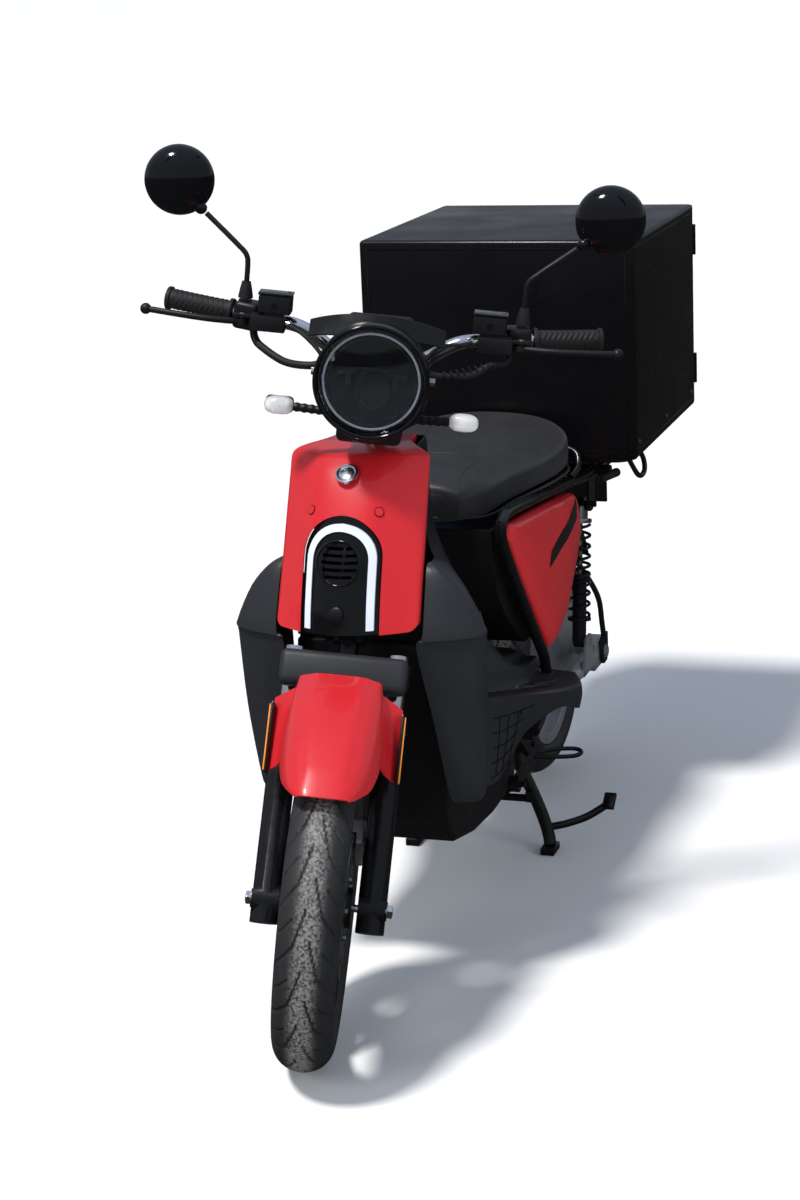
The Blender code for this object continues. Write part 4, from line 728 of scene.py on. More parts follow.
# ================================================================ frame
frame = fork(rod((0, 0, 0.672), (0, 0, 0.925), 0.0270, 18))
spine = pipe(smooth_path([(0, -0.372, 0.715), (0, -0.335, 0.672), (0, -0.300, 0.610), (0, -0.283, 0.540), (0, -0.272, 0.460),
                          (0, -0.250, 0.385), (0, -0.200, 0.322), (0, -0.130, 0.290), (0, 0.00, 0.285), (0, 0.10, 0.285)], 0.10), 0.021, 2)
frame = union(frame, spine)
frame = union(frame, rod((-0.148, 0.100, 0.285), (0.148, 0.100, 0.285), 0.0165, 12))
tube = [(SIDE_TUBE_X, 0.100, 0.285), (SIDE_TUBE_X, 0.150, 0.300), (SIDE_TUBE_X, 0.187, 0.345), (SIDE_TUBE_X, 0.185, 0.392),
        (SIDE_TUBE_X, 0.140, 0.442), (SIDE_TUBE_X, 0.030, 0.556), (SIDE_TUBE_X, -0.050, 0.645), (SIDE_TUBE_X, -0.078, 0.688),
        (SIDE_TUBE_X, -0.050, 0.712), (SIDE_TUBE_X, 0.10, 0.700), (SIDE_TUBE_X, 0.25, 0.685), (SIDE_TUBE_X, 0.415, 0.666),
        (SIDE_TUBE_X, 0.50, 0.655), (SIDE_TUBE_X, 0.60, 0.647), (SIDE_TUBE_X, 0.70, 0.6450)]
for side in (1, -1):
    frame = union(frame, pipe(smooth_path([(side * x, y, z) for x, y, z in tube], 0.09), SIDE_TUBE_R, 1))
frame = union(frame, rod((-0.178, 0.600, 0.6460), (0.178, 0.600, 0.6460), 0.0110, 12))
frame = union(frame, rod((-0.150, 0.440, 0.6630), (0.150, 0.440, 0.6630), 0.0070, 8))
lug_outline = [(0.095, 0.302), (0.238, 0.302), (0.240, 0.262), (0.284, 0.222), (0.284, 0.190), (0.242, 0.188),
               (0.180, 0.235), (0.095, 0.265)]
for side in (1, -1):
    lo, hi = sorted((side * 0.0895, side * 0.1010))
    frame = union(frame, prism(lug_outline, "X", lo, hi))
    # shock mounting plate with its pin
    lo, hi = sorted((side * 0.1395, side * 0.1450))
    frame = union(frame, prism([(0.558, 0.650), (0.558, 0.585), (0.568, 0.573), (0.588, 0.573), (0.600, 0.585), (0.612, 0.650)], "X", lo, hi))
    frame = union(frame, rod((side * 0.1080, SHOCK_U.y, SHOCK_U.z), (side * 0.1530, SHOCK_U.y, SHOCK_U.z), 0.0060, 8))
frame = union(frame, prism([(0.030, 0.190), (0.064, 0.190), (0.075, 0.240), (0.100, 0.290), (0.075, 0.298), (0.040, 0.235)], "X", 0.1105, 0.1170))
frame = union(frame, rod((0.1100, SIDE_STAND.y, SIDE_STAND.z), (0.1430, SIDE_STAND.y, SIDE_STAND.z), 0.0055, 8))
frame = cut(frame, fork(rod((0, 0, 0.66), (0, 0, 0.94), STEM_R + GAP + 0.0006, 16)))
for side in (1, -1):
    frame = cut(frame, rod((side * 0.08, PIVOT.y, PIVOT.z), (side * 0.11, PIVOT.y, PIVOT.z), 0.0070, 10),
                rod((side * 0.08, STAND.y, STAND.z), (side * 0.11, STAND.y, STAND.z), 0.0060, 10))
finish(frame, "frame", BLACK, "body", (0, 0, 0))

# rear rack below the box, with a luggage loop each side and four box feet
ring = [(0.170, 0.575, 0.676), (0.209, 0.585, 0.676), (0.2110, 0.64, 0.676), (0.2110, 0.90, 0.676), (0.200, 0.940, 0.676), (0.160, 0.950, 0.676)]
left = smooth_path(ring, 0.06)
loop = left + [Vector((-p.x, p.y, p.z)) for p in reversed(left)]
rack = pipe(loop, 0.0095, 2, cyclic=True)
for y in (0.66, 0.80):
    rack = union(rack, rod((-0.211, y, 0.676), (0.211, y, 0.676), 0.0075, 8))
for sx in (1, -1):
    rack = union(rack, pipe(smooth_path([(sx * 0.212, 0.598, 0.674), (sx * 0.2200, 0.604, 0.654), (sx * 0.2260, 0.618, 0.636), (sx * 0.2290, 0.637, 0.630),
                                         (sx * 0.2310, 0.656, 0.637), (sx * 0.2260, 0.670, 0.656), (sx * 0.2130, 0.678, 0.675)], 0.018), 0.0050, 1))
    for y in (0.66, 0.80):
        rack = union(rack, block((0.040, 0.030, 0.020), (sx * 0.150, y, 0.6862)))
    # stays down to the frame rails
    rack = union(rack, block((0.016, 0.030, 0.0160), (sx * 0.148, 0.66, 0.6665)))
for sx in (1, -1):
    rack = cut(rack, pipe(smooth_path([(sx * x, y, z) for x, y, z in tube], 0.09), SIDE_TUBE_R + 0.0014, 1))
finish(rack, "rear_rack", BLACK, "body", (0, 0.76, 0.676))

# ================================================================ swingarm
arm = rod((-0.0885, PIVOT.y, PIVOT.z), (0.0885, PIVOT.y, PIVOT.z), 0.0165, 12)
arm = union(arm, rod((-0.1060, PIVOT.y, PIVOT.z), (0.1060, PIVOT.y, PIVOT.z), 0.0060, 10))
for side in (1, -1):
    path = [(side * 0.066, PIVOT.y, PIVOT.z), (side * 0.068, 0.255, 0.273), (side * 0.072, 0.290, 0.272), (side * 0.095, 0.335, 0.270),
            (side * 0.118, 0.380, 0.269), (side * 0.1215, 0.440, 0.268), (side * 0.1215, 0.655, 0.268)]
    arm = union(arm, pipe(smooth_path(path, 0.09), 0.0165, 1))
    lo, hi = sorted((side * 0.1075, side * 0.1365))
    arm = union(arm, prism([(0.610, 0.242), (0.690, 0.242), (0.696, 0.268), (0.690, 0.294), (0.610, 0.294)], "X", lo, hi))
    lo, hi = sorted((side * 0.1370, side * 0.1415))
    arm = union(arm, prism([(0.500, 0.262), (0.590, 0.262), (0.560, 0.334), (0.532, 0.334)], "X", lo, hi),
                block((0.024, 0.060, 0.014), (side * 0.1300, 0.545, 0.2720)))
    arm = union(arm, rod((side * 0.1090, SHOCK_L.y, SHOCK_L.z), (side * 0.1470, SHOCK_L.y, SHOCK_L.z), 0.0060, 8))
arm = union(arm, rod((-0.150, REAR_AXLE.y, REAR_AXLE.z), (0.150, REAR_AXLE.y, REAR_AXLE.z), 0.0090, 14))
for side in (1, -1):
    arm = union(arm, rod((side * 0.1360, REAR_AXLE.y, REAR_AXLE.z), (side * 0.1460, REAR_AXLE.y, REAR_AXLE.z), 0.0140, 6))
finish(arm, "swingarm", CAST, "body", PIVOT)

# rear mudguard on stays from the axle
rows = []
for k in range(11):
    a = math.radians(-38 + 98 * k / 10)
    row = []
    for x, r in ((-0.058, 0.262), (-0.052, 0.2710), (-0.020, 0.2740), (0.020, 0.2740), (0.052, 0.2710), (0.058, 0.262)):
        row.append((x, REAR_AXLE.y + r * math.sin(a), REAR_AXLE.z + r * math.cos(a)))
    rows.append(row)
guard = sheet(rows, 0.003, 1.0, fine=(4, 3))
for side in (1, -1):
    guard = union(guard, pipe(smooth_path([(side * 0.1425, 0.6650, 0.290), (side * 0.1425, 0.650, 0.330), (side * 0.1400, 0.628, 0.390), (side * 0.112, 0.612, 0.450),
                                           (side * 0.0720, 0.605, 0.510), (side * 0.0440, 0.602, 0.5300)], 0.04), 0.0055, 1))
    guard = union(guard, prism([(0.642, 0.302), (0.642, 0.258), (0.652, 0.246), (0.678, 0.246), (0.688, 0.258), (0.688, 0.302)], "X", *sorted((side * 0.1395, side * 0.1450))))
guard = cut(guard, rod((-0.16, REAR_AXLE.y, REAR_AXLE.z), (0.16, REAR_AXLE.y, REAR_AXLE.z), 0.0150, 14))
finish(guard, "rear_mudguard", PLASTIC, "body", REAR_AXLE)

# ================================================================ shocks
for side, tag in ((1, "left"), (-1, "right")):
    L = Vector((side * SHOCK_L.x, SHOCK_L.y, SHOCK_L.z))
    U = Vector((side * SHOCK_U.x, SHOCK_U.y, SHOCK_U.z))
    d = (U - L).normalized()
    length = (U - L).length
    low = rod(L - Vector((0.0095, 0, 0)), L + Vector((0.0095, 0, 0)), 0.0125, 12)
    low = union(low, rod(L + d * 0.004, L + d * 0.118, 0.0135, 12))
    low = union(low, rod(L + d * 0.040, L + d * 0.046, 0.0225, 14))
    low = cut(low, rod(L - Vector((0.02, 0, 0)), L + Vector((0.02, 0, 0)), 0.0070, 8),
              rod(L + d * 0.030, L + d * 0.13, 0.0064, 8))
    finish(low, "shock_body_" + tag, PLASTIC, "body", L)
    up = rod(U - Vector((0.0095, 0, 0)), U + Vector((0.0095, 0, 0)), 0.0125, 12)
    up = union(up, rod(U - d * 0.034, U - d * 0.004, 0.0150, 12), rod(U - d * 0.036, U - d * 0.030, 0.0225, 14),
               rod(U - d * 0.190, U - d * 0.010, 0.0052, 8))
    up = cut(up, rod(U - Vector((0.02, 0, 0)), U + Vector((0.02, 0, 0)), 0.0070, 8))
    finish(up, "shock_rod_" + tag, CHROME, "body", U)

# ================================================================ stands
st = rod((-0.0885, STAND.y, STAND.z), (0.0885, STAND.y, STAND.z), 0.0125, 12)
st = union(st, rod((-0.1050, STAND.y, STAND.z), (0.1050, STAND.y, STAND.z), 0.0050, 8))
for side in (1, -1):
    st = union(st, pipe(smooth_path([(side * 0.062, STAND.y, STAND.z), (side * 0.074, 0.263, 0.165), (side * 0.104, 0.264, 0.095), (side * 0.124, 0.262, 0.040),
                                     (side * 0.130, 0.256, 0.014)], 0.06), 0.0115, 2))
    st = union(st, block((0.026, 0.046, 0.0130), (side * 0.130, 0.254, 0.0065)))
st = union(st, rod((-0.103, 0.264, 0.098), (0.103, 0.264, 0.098), 0.0070, 8))
st = union(st, pipe(smooth_path([(0.124, 0.263, 0.044), (0.155, 0.276, 0.048), (0.190, 0.300, 0.056), (0.220, 0.320, 0.072)], 0.04), 0.0070, 1))
st = union(st, block((0.022, 0.034, 0.0080), (0.2270, 0.3260, 0.0800), Matrix.Rotation(math.radians(35), 4, "X")))
st = union(st, block((0.016, 0.016, 0.020), (0.0970, 0.2480, 0.1080)))
finish(st, "center_stand", BLACK, "body", STAND)

B = SIDE_STAND
ss = rod((0.1176, B.y, B.z), (0.1330, B.y, B.z), 0.0150, 14)
leg = prism([(B.y - 0.004, B.z - 0.012), (B.y + 0.100, B.z - 0.006), (B.y + 0.170, B.z + 0.002), (B.y + 0.172, B.z + 0.016), (B.y + 0.100, B.z + 0.012),
             (B.y - 0.004, B.z + 0.012)], "X", 0.1200, 0.1290)
ss = union(ss, leg)
ss = union(ss, pipe(smooth_path([(0.1250, B.y + 0.150, B.z + 0.007), (0.150, B.y + 0.178, B.z + 0.006), (0.185, B.y + 0.194, B.z + 0.004), (0.198, B.y + 0.190, B.z + 0.000),
                                 (0.190, B.y + 0.172, B.z - 0.002), (0.155, B.y + 0.150, B.z + 0.001), (0.1250, B.y + 0.135, B.z + 0.004)], 0.022), 0.0040, 1))
ss = cut(ss, rod((0.10, B.y, B.z), (0.15, B.y, B.z), 0.0064, 10))
finish(ss, "side_stand", BLACK, "body", B)


# ================================================================ front shield
def shield_y(x, z, off=0.0):
    yc = lerp([(0.60, -0.505), (0.66, -0.497), (0.73, -0.477), (0.80, -0.450), (0.857, -0.412), (0.874, -0.392)], z)
    ye = lerp([(0.60, -0.455), (0.623, -0.447), (0.73, -0.404), (0.848, -0.358), (0.874, -0.346)], z)
    w = shield_w(z)
    t = min(1.0, abs(x) / w)
    return yc + (ye - yc) * t ** 1.7 + off


def shield_w(z):
    return 0.1155 - (z - 0.62) * 0.014


rows = []
us = [-1, -0.84, -0.60, -0.30, 0.30, 0.60, 0.84, 1]
for z, back in ((0.6225, 0.020), (0.67, 0.020), (0.73, 0.020), (0.78, 0.020), (0.820, 0.020), (0.852, 0.018), (0.872, 0.014)):
    w = shield_w(z)
    rows.append([(-w + 0.002, shield_y(-w, z) + back, z - 0.001)] + [(u * w, shield_y(u * w, z), z) for u in us]
                + [(w - 0.002, shield_y(w, z) + back, z - 0.001)])
for z, y, bow, w, back, drop in ((0.8820, -0.376, 0.034, 0.1040, 0.008, 0.005), (0.8870, -0.350, 0.020, 0.0900, 0.003, 0.008),
                                 (0.8890, -0.300, 0.006, 0.0700, 0.0, 0.009), (0.8890, -0.250, 0.0, 0.0620, 0.0, 0.009)):
    rows.append([(-w - 0.001, y + bow + back, z - drop)] + [(u * w, y + bow * u * u, z) for u in us] + [(w + 0.001, y + bow + back, z - drop)])
shield = sheet(rows, 0.003, -1.0, fine=(5, 6))


def arch(w, top, bottom, n=40):
    pts = [(-w, bottom)]
    for k in range(n + 1):
        a = math.pi - math.pi * k / n
        pts.append((w * math.cos(a), top - w + w * math.sin(a)))
    pts.append((w, bottom))
    return pts


shield = cut(shield, prism(arch(0.0640, 0.799, 0.600), "Y", -0.56, -0.42))
corner = [(0.0, 0.0), (0.03, 0.0), (0.03, 0.03), (0.0, 0.03)]
for s in (1, -1):
    arc = [(s * (0.1160 - 0.016 + 0.016 * math.sin(a)), 0.6220 + 0.016 - 0.016 * math.cos(a)) for a in [math.radians(9 * k) for k in range(11)]]
    shield = cut(shield, prism([(s * 0.13, 0.600), (s * 0.1000, 0.600)] + arc + [(s * 0.13, 0.6390)], "Y", -0.56, -0.40))
hole = fork(rod((0, 0.0, 0.94), (0, 0.0, 1.04), 0.040, 16))
shield = cut(shield, hole)
finish(shield, "front_shield", RED, "body", (0, -0.43, 0.75))


def shield_panel(off, thick, zs, wide):
    rows = []
    for z in zs:
        rows.append([(x, shield_y(x, z, off), z) for x in wide])
    return sheet(rows, thick, -1.0, fine=(6, 6))


zs = [0.6230, 0.67, 0.73, 0.77, 0.805]
xs = [-0.068, -0.045, -0.015, 0.015, 0.045, 0.068]
arch_p = shield_panel(0.0048, 0.0030, zs, xs)
arch_p = common(arch_p, prism(arch(0.0634, 0.7984, 0.610), "Y", -0.56, -0.42))
# louvred horn grille
for k in range(-2, 3):
    hw = math.sqrt(0.030 ** 2 - (0.0105 * k) ** 2)
    arch_p = cut(arch_p, block((2 * hw, 0.08, 0.0050), (0, -0.48, 0.731 + 0.0105 * k)))
finish(arch_p, "arch_panel", GLOSSBLK, "body", (0, -0.47, 0.72))
band = cut(prism(arch(0.0560, 0.7885, 0.6300), "Y", -0.56, -0.42), prism(arch(0.0450, 0.7775, 0.6200), "Y", -0.57, -0.41))
drl = common(shield_panel(0.0006, 0.0028, zs, xs), band)
finish(drl, "drl_light", WHITE, "body", (0, -0.47, 0.72))

# ================================================================ leg shield
sect = [
    (0.714, [(0.1165, -0.389), (0.1185, -0.388), (0.1205, -0.386), (0.1185, -0.366), (0.1165, -0.352)]),
    (0.702, [(0.1185, -0.402), (0.1300, -0.400), (0.1420, -0.391), (0.1360, -0.352), (0.1260, -0.330)]),
    (0.668, [(0.1195, -0.417), (0.1470, -0.411), (0.1720, -0.393), (0.1600, -0.348), (0.1460, -0.316)]),
    (0.610, [(0.1190, -0.438), (0.1650, -0.421), (0.2010, -0.389), (0.1820, -0.330), (0.1600, -0.276)]),
    (0.590, [(0.1080, -0.436), (0.1600, -0.416), (0.2010, -0.386), (0.1820, -0.325), (0.1600, -0.262)]),
    (0.465, [(0.1230, -0.408), (0.1630, -0.399), (0.1960, -0.378), (0.1800, -0.312), (0.1620, -0.248)]),
    (0.345, [(0.1370, -0.388), (0.1630, -0.380), (0.1860, -0.362), (0.1740, -0.300), (0.1600, -0.248)]),
    (0.322, [(0.1420, -0.376), (0.1620, -0.370), (0.1790, -0.354), (0.1700, -0.298), (0.1580, -0.250)]),
]
wing = sheet([[(x, y, z) for x, y in pts] for z, pts in sect], 0.003, -1.0, fine=(4, 4))
other = mirrored(wing)
bridge = block((0.3580, 0.016, 0.018), (0, -0.3070, 0.4400))
legs = union(bridge, wing, other)
finish(legs, "leg_shield", GREY, "body", (0, -0.36, 0.50))

# rider side of the leg shield
rows = []
for z, hw, yc in ((0.5560, 0.136, -0.2440), (0.600, 0.136, -0.2420), (0.650, 0.122, -0.2400), (0.700, 0.100, -0.2370), (0.740, 0.085, -0.2350), (0.800, 0.078, -0.2320),
                  (0.860, 0.076, -0.2290), (0.8830, 0.074, -0.2280)):
    fr = -0.030 if z < 0.69 else -0.080
    row = [(-hw - 0.010, yc + fr, z), (-hw, yc - 0.006, z)] + [(hw * u, yc, z) for u in (-0.85, -0.4, 0.4, 0.85)] + [(hw, yc - 0.006, z), (hw + 0.010, yc + fr, z)]
    rows.append(row)
inner_ls = sheet(rows, 0.003, 1.0, fine=(3, 3))
finish(inner_ls, "inner_leg_shield", PLASTIC, "body", (0, -0.24, 0.70))

# black front underside and belly tub
outer_pts = [(-0.3440, 0.572), (-0.3480, 0.550), (-0.350, 0.450), (-0.350, 0.350), (-0.345, 0.275), (-0.310, 0.228), (-0.200, 0.205), (-0.080, 0.196),
             (0.000, 0.200), (0.026, 0.225), (0.026, 0.262), (-0.150, 0.262), (-0.235, 0.292), (-0.305, 0.365), (-0.3250, 0.450), (-0.3270, 0.572)]
tub = prism(outer_pts, "X", -0.122, 0.122)
inner_pts = [(-0.3405, 0.280), (-0.308, 0.232), (-0.200, 0.209), (-0.080, 0.200), (-0.001, 0.204), (0.022, 0.227), (0.022, 0.275), (-0.15, 0.275), (-0.225, 0.325),
             (-0.305, 0.405), (-0.3405, 0.405)]
bv = tub.modifiers.new("Bevel", "BEVEL")
bv.width = 0.030
bv.segments = 6
bv.limit_method = "ANGLE"
bv.angle_limit = math.radians(60)
tub = evaluated(tub)
finish(tub, "lower_front_cover", PLASTIC, "body", (0, -0.2, 0.25))

# ================================================================ floorboard
rows = []
fl = [  # y, tunnel top, tread height, rim x, rim z, skirt foot x, skirt foot z
    (-0.268, 0.552, 0.464, 0.1630, 0.4600, 0.1560, 0.318),
    (-0.236, 0.545, 0.455, 0.1690, 0.4515, 0.1600, 0.300),
    (-0.170, 0.535, 0.437, 0.1780, 0.4350, 0.1600, 0.292),
    (-0.100, 0.520, 0.419, 0.1875, 0.4170, 0.1610, 0.306),
    (-0.030, 0.500, 0.401, 0.1970, 0.3990, 0.1670, 0.325),
    (0.040, 0.458, 0.383, 0.2065, 0.3815, 0.1840, 0.333),
    (0.100, 0.422, 0.372, 0.2145, 0.3680, 0.2000, 0.333),
    (0.150, 0.408, 0.368, 0.2230, 0.3620, 0.2180, 0.316),
    (0.205, 0.404, 0.368, 0.2020, 0.3640, 0.1990, 0.312),
]
for y, zt, ztr, xr, zr, xb, zb in fl:
    halfrow = [(0.0, zt), (0.080, zt), (0.104, zt - 0.012), (0.128, ztr + 0.014 + 0.25 * (zt - ztr)), (0.140, ztr + 0.003), (xr - 0.014, zr + 0.002), (xr - 0.003, zr),
               (xr, zr - 0.006), ((xr + xb) / 2 + 0.003, (zr + zb) / 2), (xb, zb)]
    rows.append([(-x, y, z) for x, z in reversed(halfrow[1:])] + [(x, y, z) for x, z in halfrow])
floor = sheet(rows, 0.0035, -1.0, fine=(4, 3))
for s in (1, -1):
    floor = cut(floor, pipe(smooth_path([(s * SIDE_TUBE_X, 0.130, 0.292), (s * SIDE_TUBE_X, 0.150, 0.300), (s * SIDE_TUBE_X, 0.187, 0.345),
                                         (s * SIDE_TUBE_X, 0.185, 0.392), (s * SIDE_TUBE_X, 0.140, 0.442)], 0.05), 0.0150, 2))
finish(floor, "floorboard", GREY, "body", (0, 0, 0.40))

# ================================================================ under-seat body
hp = [(-0.075, 0.690), (-0.070, 0.640), (-0.035, 0.560), (0.000, 0.5250), (0.060, 0.4800), (0.120, 0.4430), (0.340, 0.4300), (0.420, 0.500), (0.4300, 0.6500), (0.4300, 0.683)]
hpi = [(-0.069, 0.720), (-0.066, 0.641), (-0.031, 0.563), (0.002, 0.5290), (0.062, 0.4840), (0.121, 0.4470), (0.338, 0.4340), (0.416, 0.502), (0.4260, 0.650), (0.4260, 0.720)]
house = prism(hp, "X", -0.130, 0.130)
house = cut(house, prism(hpi, "X", -0.1265, 0.1265))
house = cut(house, rod((-0.16, 0.440, 0.6630), (0.16, 0.440, 0.6630), 0.0120, 10))
finish(house, "battery_housing", PLASTIC, "body", (0, 0.18, 0.55))
pack = block((0.210, 0.300, 0.180), (0, 0.2250, 0.5700), bevel=0.008, seg=1)
pack = union(pack, block((0.110, 0.024, 0.020), (0, 0.2250, 0.6680), bevel=0.004, seg=1))
finish(pack, "battery_pack", CELL, "body", (0, 0.225, 0.57))

# ================================================================ delivery box
bx = block((BOX_W, BOX_Y1 + 0.020 - BOX_Y0, BOX_H), (0, (BOX_Y0 + BOX_Y1 + 0.020) / 2, BOX_Z0 + BOX_H / 2), bevel=0.008, seg=1)
bx = cut(bx, block((0.6, 0.06, 0.5), (0, BOX_Y1 - 0.0100 + 0.030, BOX_Z0 + BOX_H / 2)))
bx = cut(bx, block((BOX_W - 2 * BOX_WALL, 0.60, BOX_H - 2 * BOX_WALL), (0, BOX_Y0 + BOX_WALL + 0.30, BOX_Z0 + BOX_H / 2)))
finish(bx, "box_shell", BOXMAT, "body", (0, 0.73, BOX_Z0))
BACK = BOX_Y1 - 0.010
HINGE = Vector((BOX_W / 2 - 0.004, BACK + 0.0006 + DOOR_T + 0.0050, BOX_Z0 + BOX_H / 2))
door = block((BOX_W - 0.004, DOOR_T, BOX_H - 0.004), (0, BACK + 0.0006 + DOOR_T / 2, BOX_Z0 + BOX_H / 2), bevel=0.004, seg=1)
for dz in (-0.13, 0.13):
    door = union(door, rod((HINGE.x, HINGE.y, HINGE.z + dz - 0.03), (HINGE.x, HINGE.y, HINGE.z + dz + 0.03), 0.0060, 10),
                 block((0.030, 0.006, 0.056), (HINGE.x - 0.016, HINGE.y - 0.0035, HINGE.z + dz)))
door = cut(door, rod((-0.205, BACK - 0.02, 0.90), (-0.205, BACK + 0.05, 0.90), 0.0068, 12))
finish(door, "box_door", BOXMAT, "body", HINGE)
lx = -0.205
yf = BACK + 0.0006 + DOOR_T
latch = rod((lx, yf - 0.0120, 0.90), (lx, yf + 0.006, 0.90), 0.0060, 10)
latch = union(latch, rod((lx, yf + 0.0006, 0.90), (lx, yf + 0.0070, 0.90), 0.0140, 14), block((0.014, 0.008, 0.062), (lx, yf + 0.0085, 0.8900), bevel=0.003, seg=1))
finish(latch, "box_latch", STEEL, "body", (lx, yf, 0.90))

# ================================================================ tail
pb = block((0.060, 0.0200, 0.060), (0, 0.9250, 0.6330))
pb = union(pb, block((0.180, 0.0060, 0.130), (0, 0.9360, 0.5700)), block((0.260, 0.014, 0.012), (0, 0.9280, 0.6380)),
           block((0.120, 0.030, 0.034), (0, 0.9450, 0.6460), bevel=0.006, seg=1))
for side in (1, -1):
    pb = union(pb, block((0.040, 0.026, 0.028), (side * 0.1450, 0.9300, 0.6360), bevel=0.009, seg=1))
finish(pb, "tail_bracket", PLASTIC, "body", (0, 0.93, 0.62))


# ================================================================ front mudguard and fly screen
cl = [(-0.598, 0.590), (-0.645, 0.578), (-0.695, 0.557), (-0.740, 0.534), (-0.782, 0.507), (-0.806, 0.4885), (-0.8165, 0.4790)]
hw_ = [0.0600, 0.0660, 0.0705, 0.0715, 0.0640, 0.0500, 0.0360]
dz_ = [0.010, 0.024, 0.038, 0.044, 0.034, 0.015, 0.004]
by_ = [0.010, 0.022, 0.036, 0.044, 0.040, 0.022, 0.008]
rows = []
for (y, z), w, dz, by in zip(cl, hw_, dz_, by_):
    half = [(0.0, y, z), (0.34 * w, y + 0.03 * by, z - 0.02 * dz), (0.62 * w, y + 0.13 * by, z - 0.11 * dz), (0.82 * w, y + 0.36 * by, z - 0.34 * dz),
            (0.95 * w, y + 0.68 * by, z - 0.66 * dz), (w, y + by, z - dz)]
    rows.append([(-a, b, c) for a, b, c in reversed(half[1:])] + half)
fend = sheet(rows, 0.003, -1.0, fine=(6, 5))
# a broad raised centre panel with soft crease lines either side
for v in fend.data.vertices:
    x, y, z = v.co
    t = (y + 0.80) / 0.20
    edge = 0.030 + 0.012 * max(0.0, min(1.0, t))
    k = 1.0 / (1.0 + math.exp((abs(x) - edge) / 0.0016))
    rise = 0.0026 * k * max(0.0, min(1.0, (y + 0.812) / 0.03))
    v.co.z += rise * 0.8
    v.co.y -= rise * 0.6
for sx in (1, -1):
    ear = [[(sx * 0.0600, -0.594, 0.570), (sx * 0.0700, -0.590, 0.562), (sx * 0.0840, -0.586, 0.552), (sx * 0.0965, -0.585, 0.543)],
           [(sx * 0.0655, -0.612, 0.545), (sx * 0.0760, -0.606, 0.528), (sx * 0.0880, -0.602, 0.520), (sx * 0.0975, -0.600, 0.514)],
           [(sx * 0.0690, -0.634, 0.515), (sx * 0.0800, -0.624, 0.494), (sx * 0.0900, -0.620, 0.486), (sx * 0.0975, -0.618, 0.480)],
           [(sx * 0.0690, -0.664, 0.485), (sx * 0.0790, -0.648, 0.462), (sx * 0.0880, -0.642, 0.452), (sx * 0.0945, -0.638, 0.447)]]
    e = sheet(ear, 0.0028, 0.0, fine=(6, 5))
    show(e, "fender_ear_" + ("l" if sx > 0 else "r"), RED, "fork_lower", "steer", 45)
show(fend, "v_front_fender", RED, "fork_lower", "steer", 30, 0.0006, ("front_fender",))
brace_ = fork(block((0.120, 0.0600, 0.010), (0, -0.0965, 0.5265)))
show(brace_, "fender_brace", BLACK, "fork_lower", "steer", 30)

rows = []
for i in range(5):
    v = i / 4
    row = []
    for j in range(17):
        u = -1 + 2 * j / 16
        x = 0.1035 * u
        zb = 1.0640 + 0.012 * (1 - u * u) ** 0.8
        zt = 1.1085 - 0.0215 * abs(u) ** 2.2
        z = zb + (zt - zb) * v
        y = -0.437 + 0.030 * u * u + 0.016 * v
        row.append((x, y, z))
    rows.append(row)
show(sheet(rows, 0.0034, 0.0, fine=(2, 4)), "v_visor", BLACK, "steering", "steer", 30, 0.0010, ("visor",))

# ================================================================ tyres
def grooves(theta, x, side_phase=0.5):
    """0 on the land, 1 at the bottom of a tread groove."""
    K = 17
    pitch = 2 * math.pi * 0.25 / K
    ax = abs(x)
    p = (theta * K / (2 * math.pi) + (side_phase if x < 0 else 0.0)) % 1.0
    best = 0.0
    for off in (-1.0, 0.0, 1.0):
        # long stroke close to the crown, then a hook to the shoulder
        for x0, x1, p0, p1, w in ((0.0045, 0.0200, 0.00, 0.62, 0.0021), (0.0200, 0.0425, 0.62, 0.98, 0.0026), (0.0240, 0.0400, 0.18, 0.42, 0.0016)):
            if ax < x0 - 0.001 or ax > x1 + 0.001:
                continue
            t = (ax - x0) / (x1 - x0)
            c = p0 + (p1 - p0) * t
            slope = (p1 - p0) * pitch / (x1 - x0)
            d = abs(p + off - c) * pitch / math.sqrt(1 + slope * slope)
            best = max(best, min(1.0, max(0.0, (w - d) / 0.0010)))
    return best


def tyre_mesh(centre):
    prof = [(0.1795, 0.0316), (0.1900, 0.0320), (0.1915, 0.0342), (0.1945, 0.0385), (0.1990, 0.0432), (0.2035, 0.0455)]
    n = 26
    for k in range(n + 1):
        t = math.pi / 2 * k / n
        prof.append((0.208 + 0.042 * math.sin(t), 0.046 * math.cos(t)))
    full = prof + [(r, -x) for r, x in reversed(prof[:-1])]
    NT = 840
    bm = bmesh.new()
    lay = bm.verts.layers.float.new("wear")
    rings = []
    for i in range(NT):
        th = 2 * math.pi * i / NT
        ring = []
        for r, x in full:
            g = grooves(th, x) if r > 0.212 else 0.0
            # raised lettering band is left plain
            rr = r - 0.0030 * g
            v = bm.verts.new((x, rr * math.cos(th), rr * math.sin(th)))
            v[lay] = (1 - g) * math.exp(-(x / 0.0185) ** 4)
            ring.append(v)
        rings.append(ring)
    m = len(full)
    for i in range(NT):
        a, b = rings[i], rings[(i + 1) % NT]
        for j in range(m):
            bm.faces.new((a[j], a[(j + 1) % m], b[(j + 1) % m], b[j]))
    return transform(as_obj(bm), Matrix.Translation(Vector(centre)))


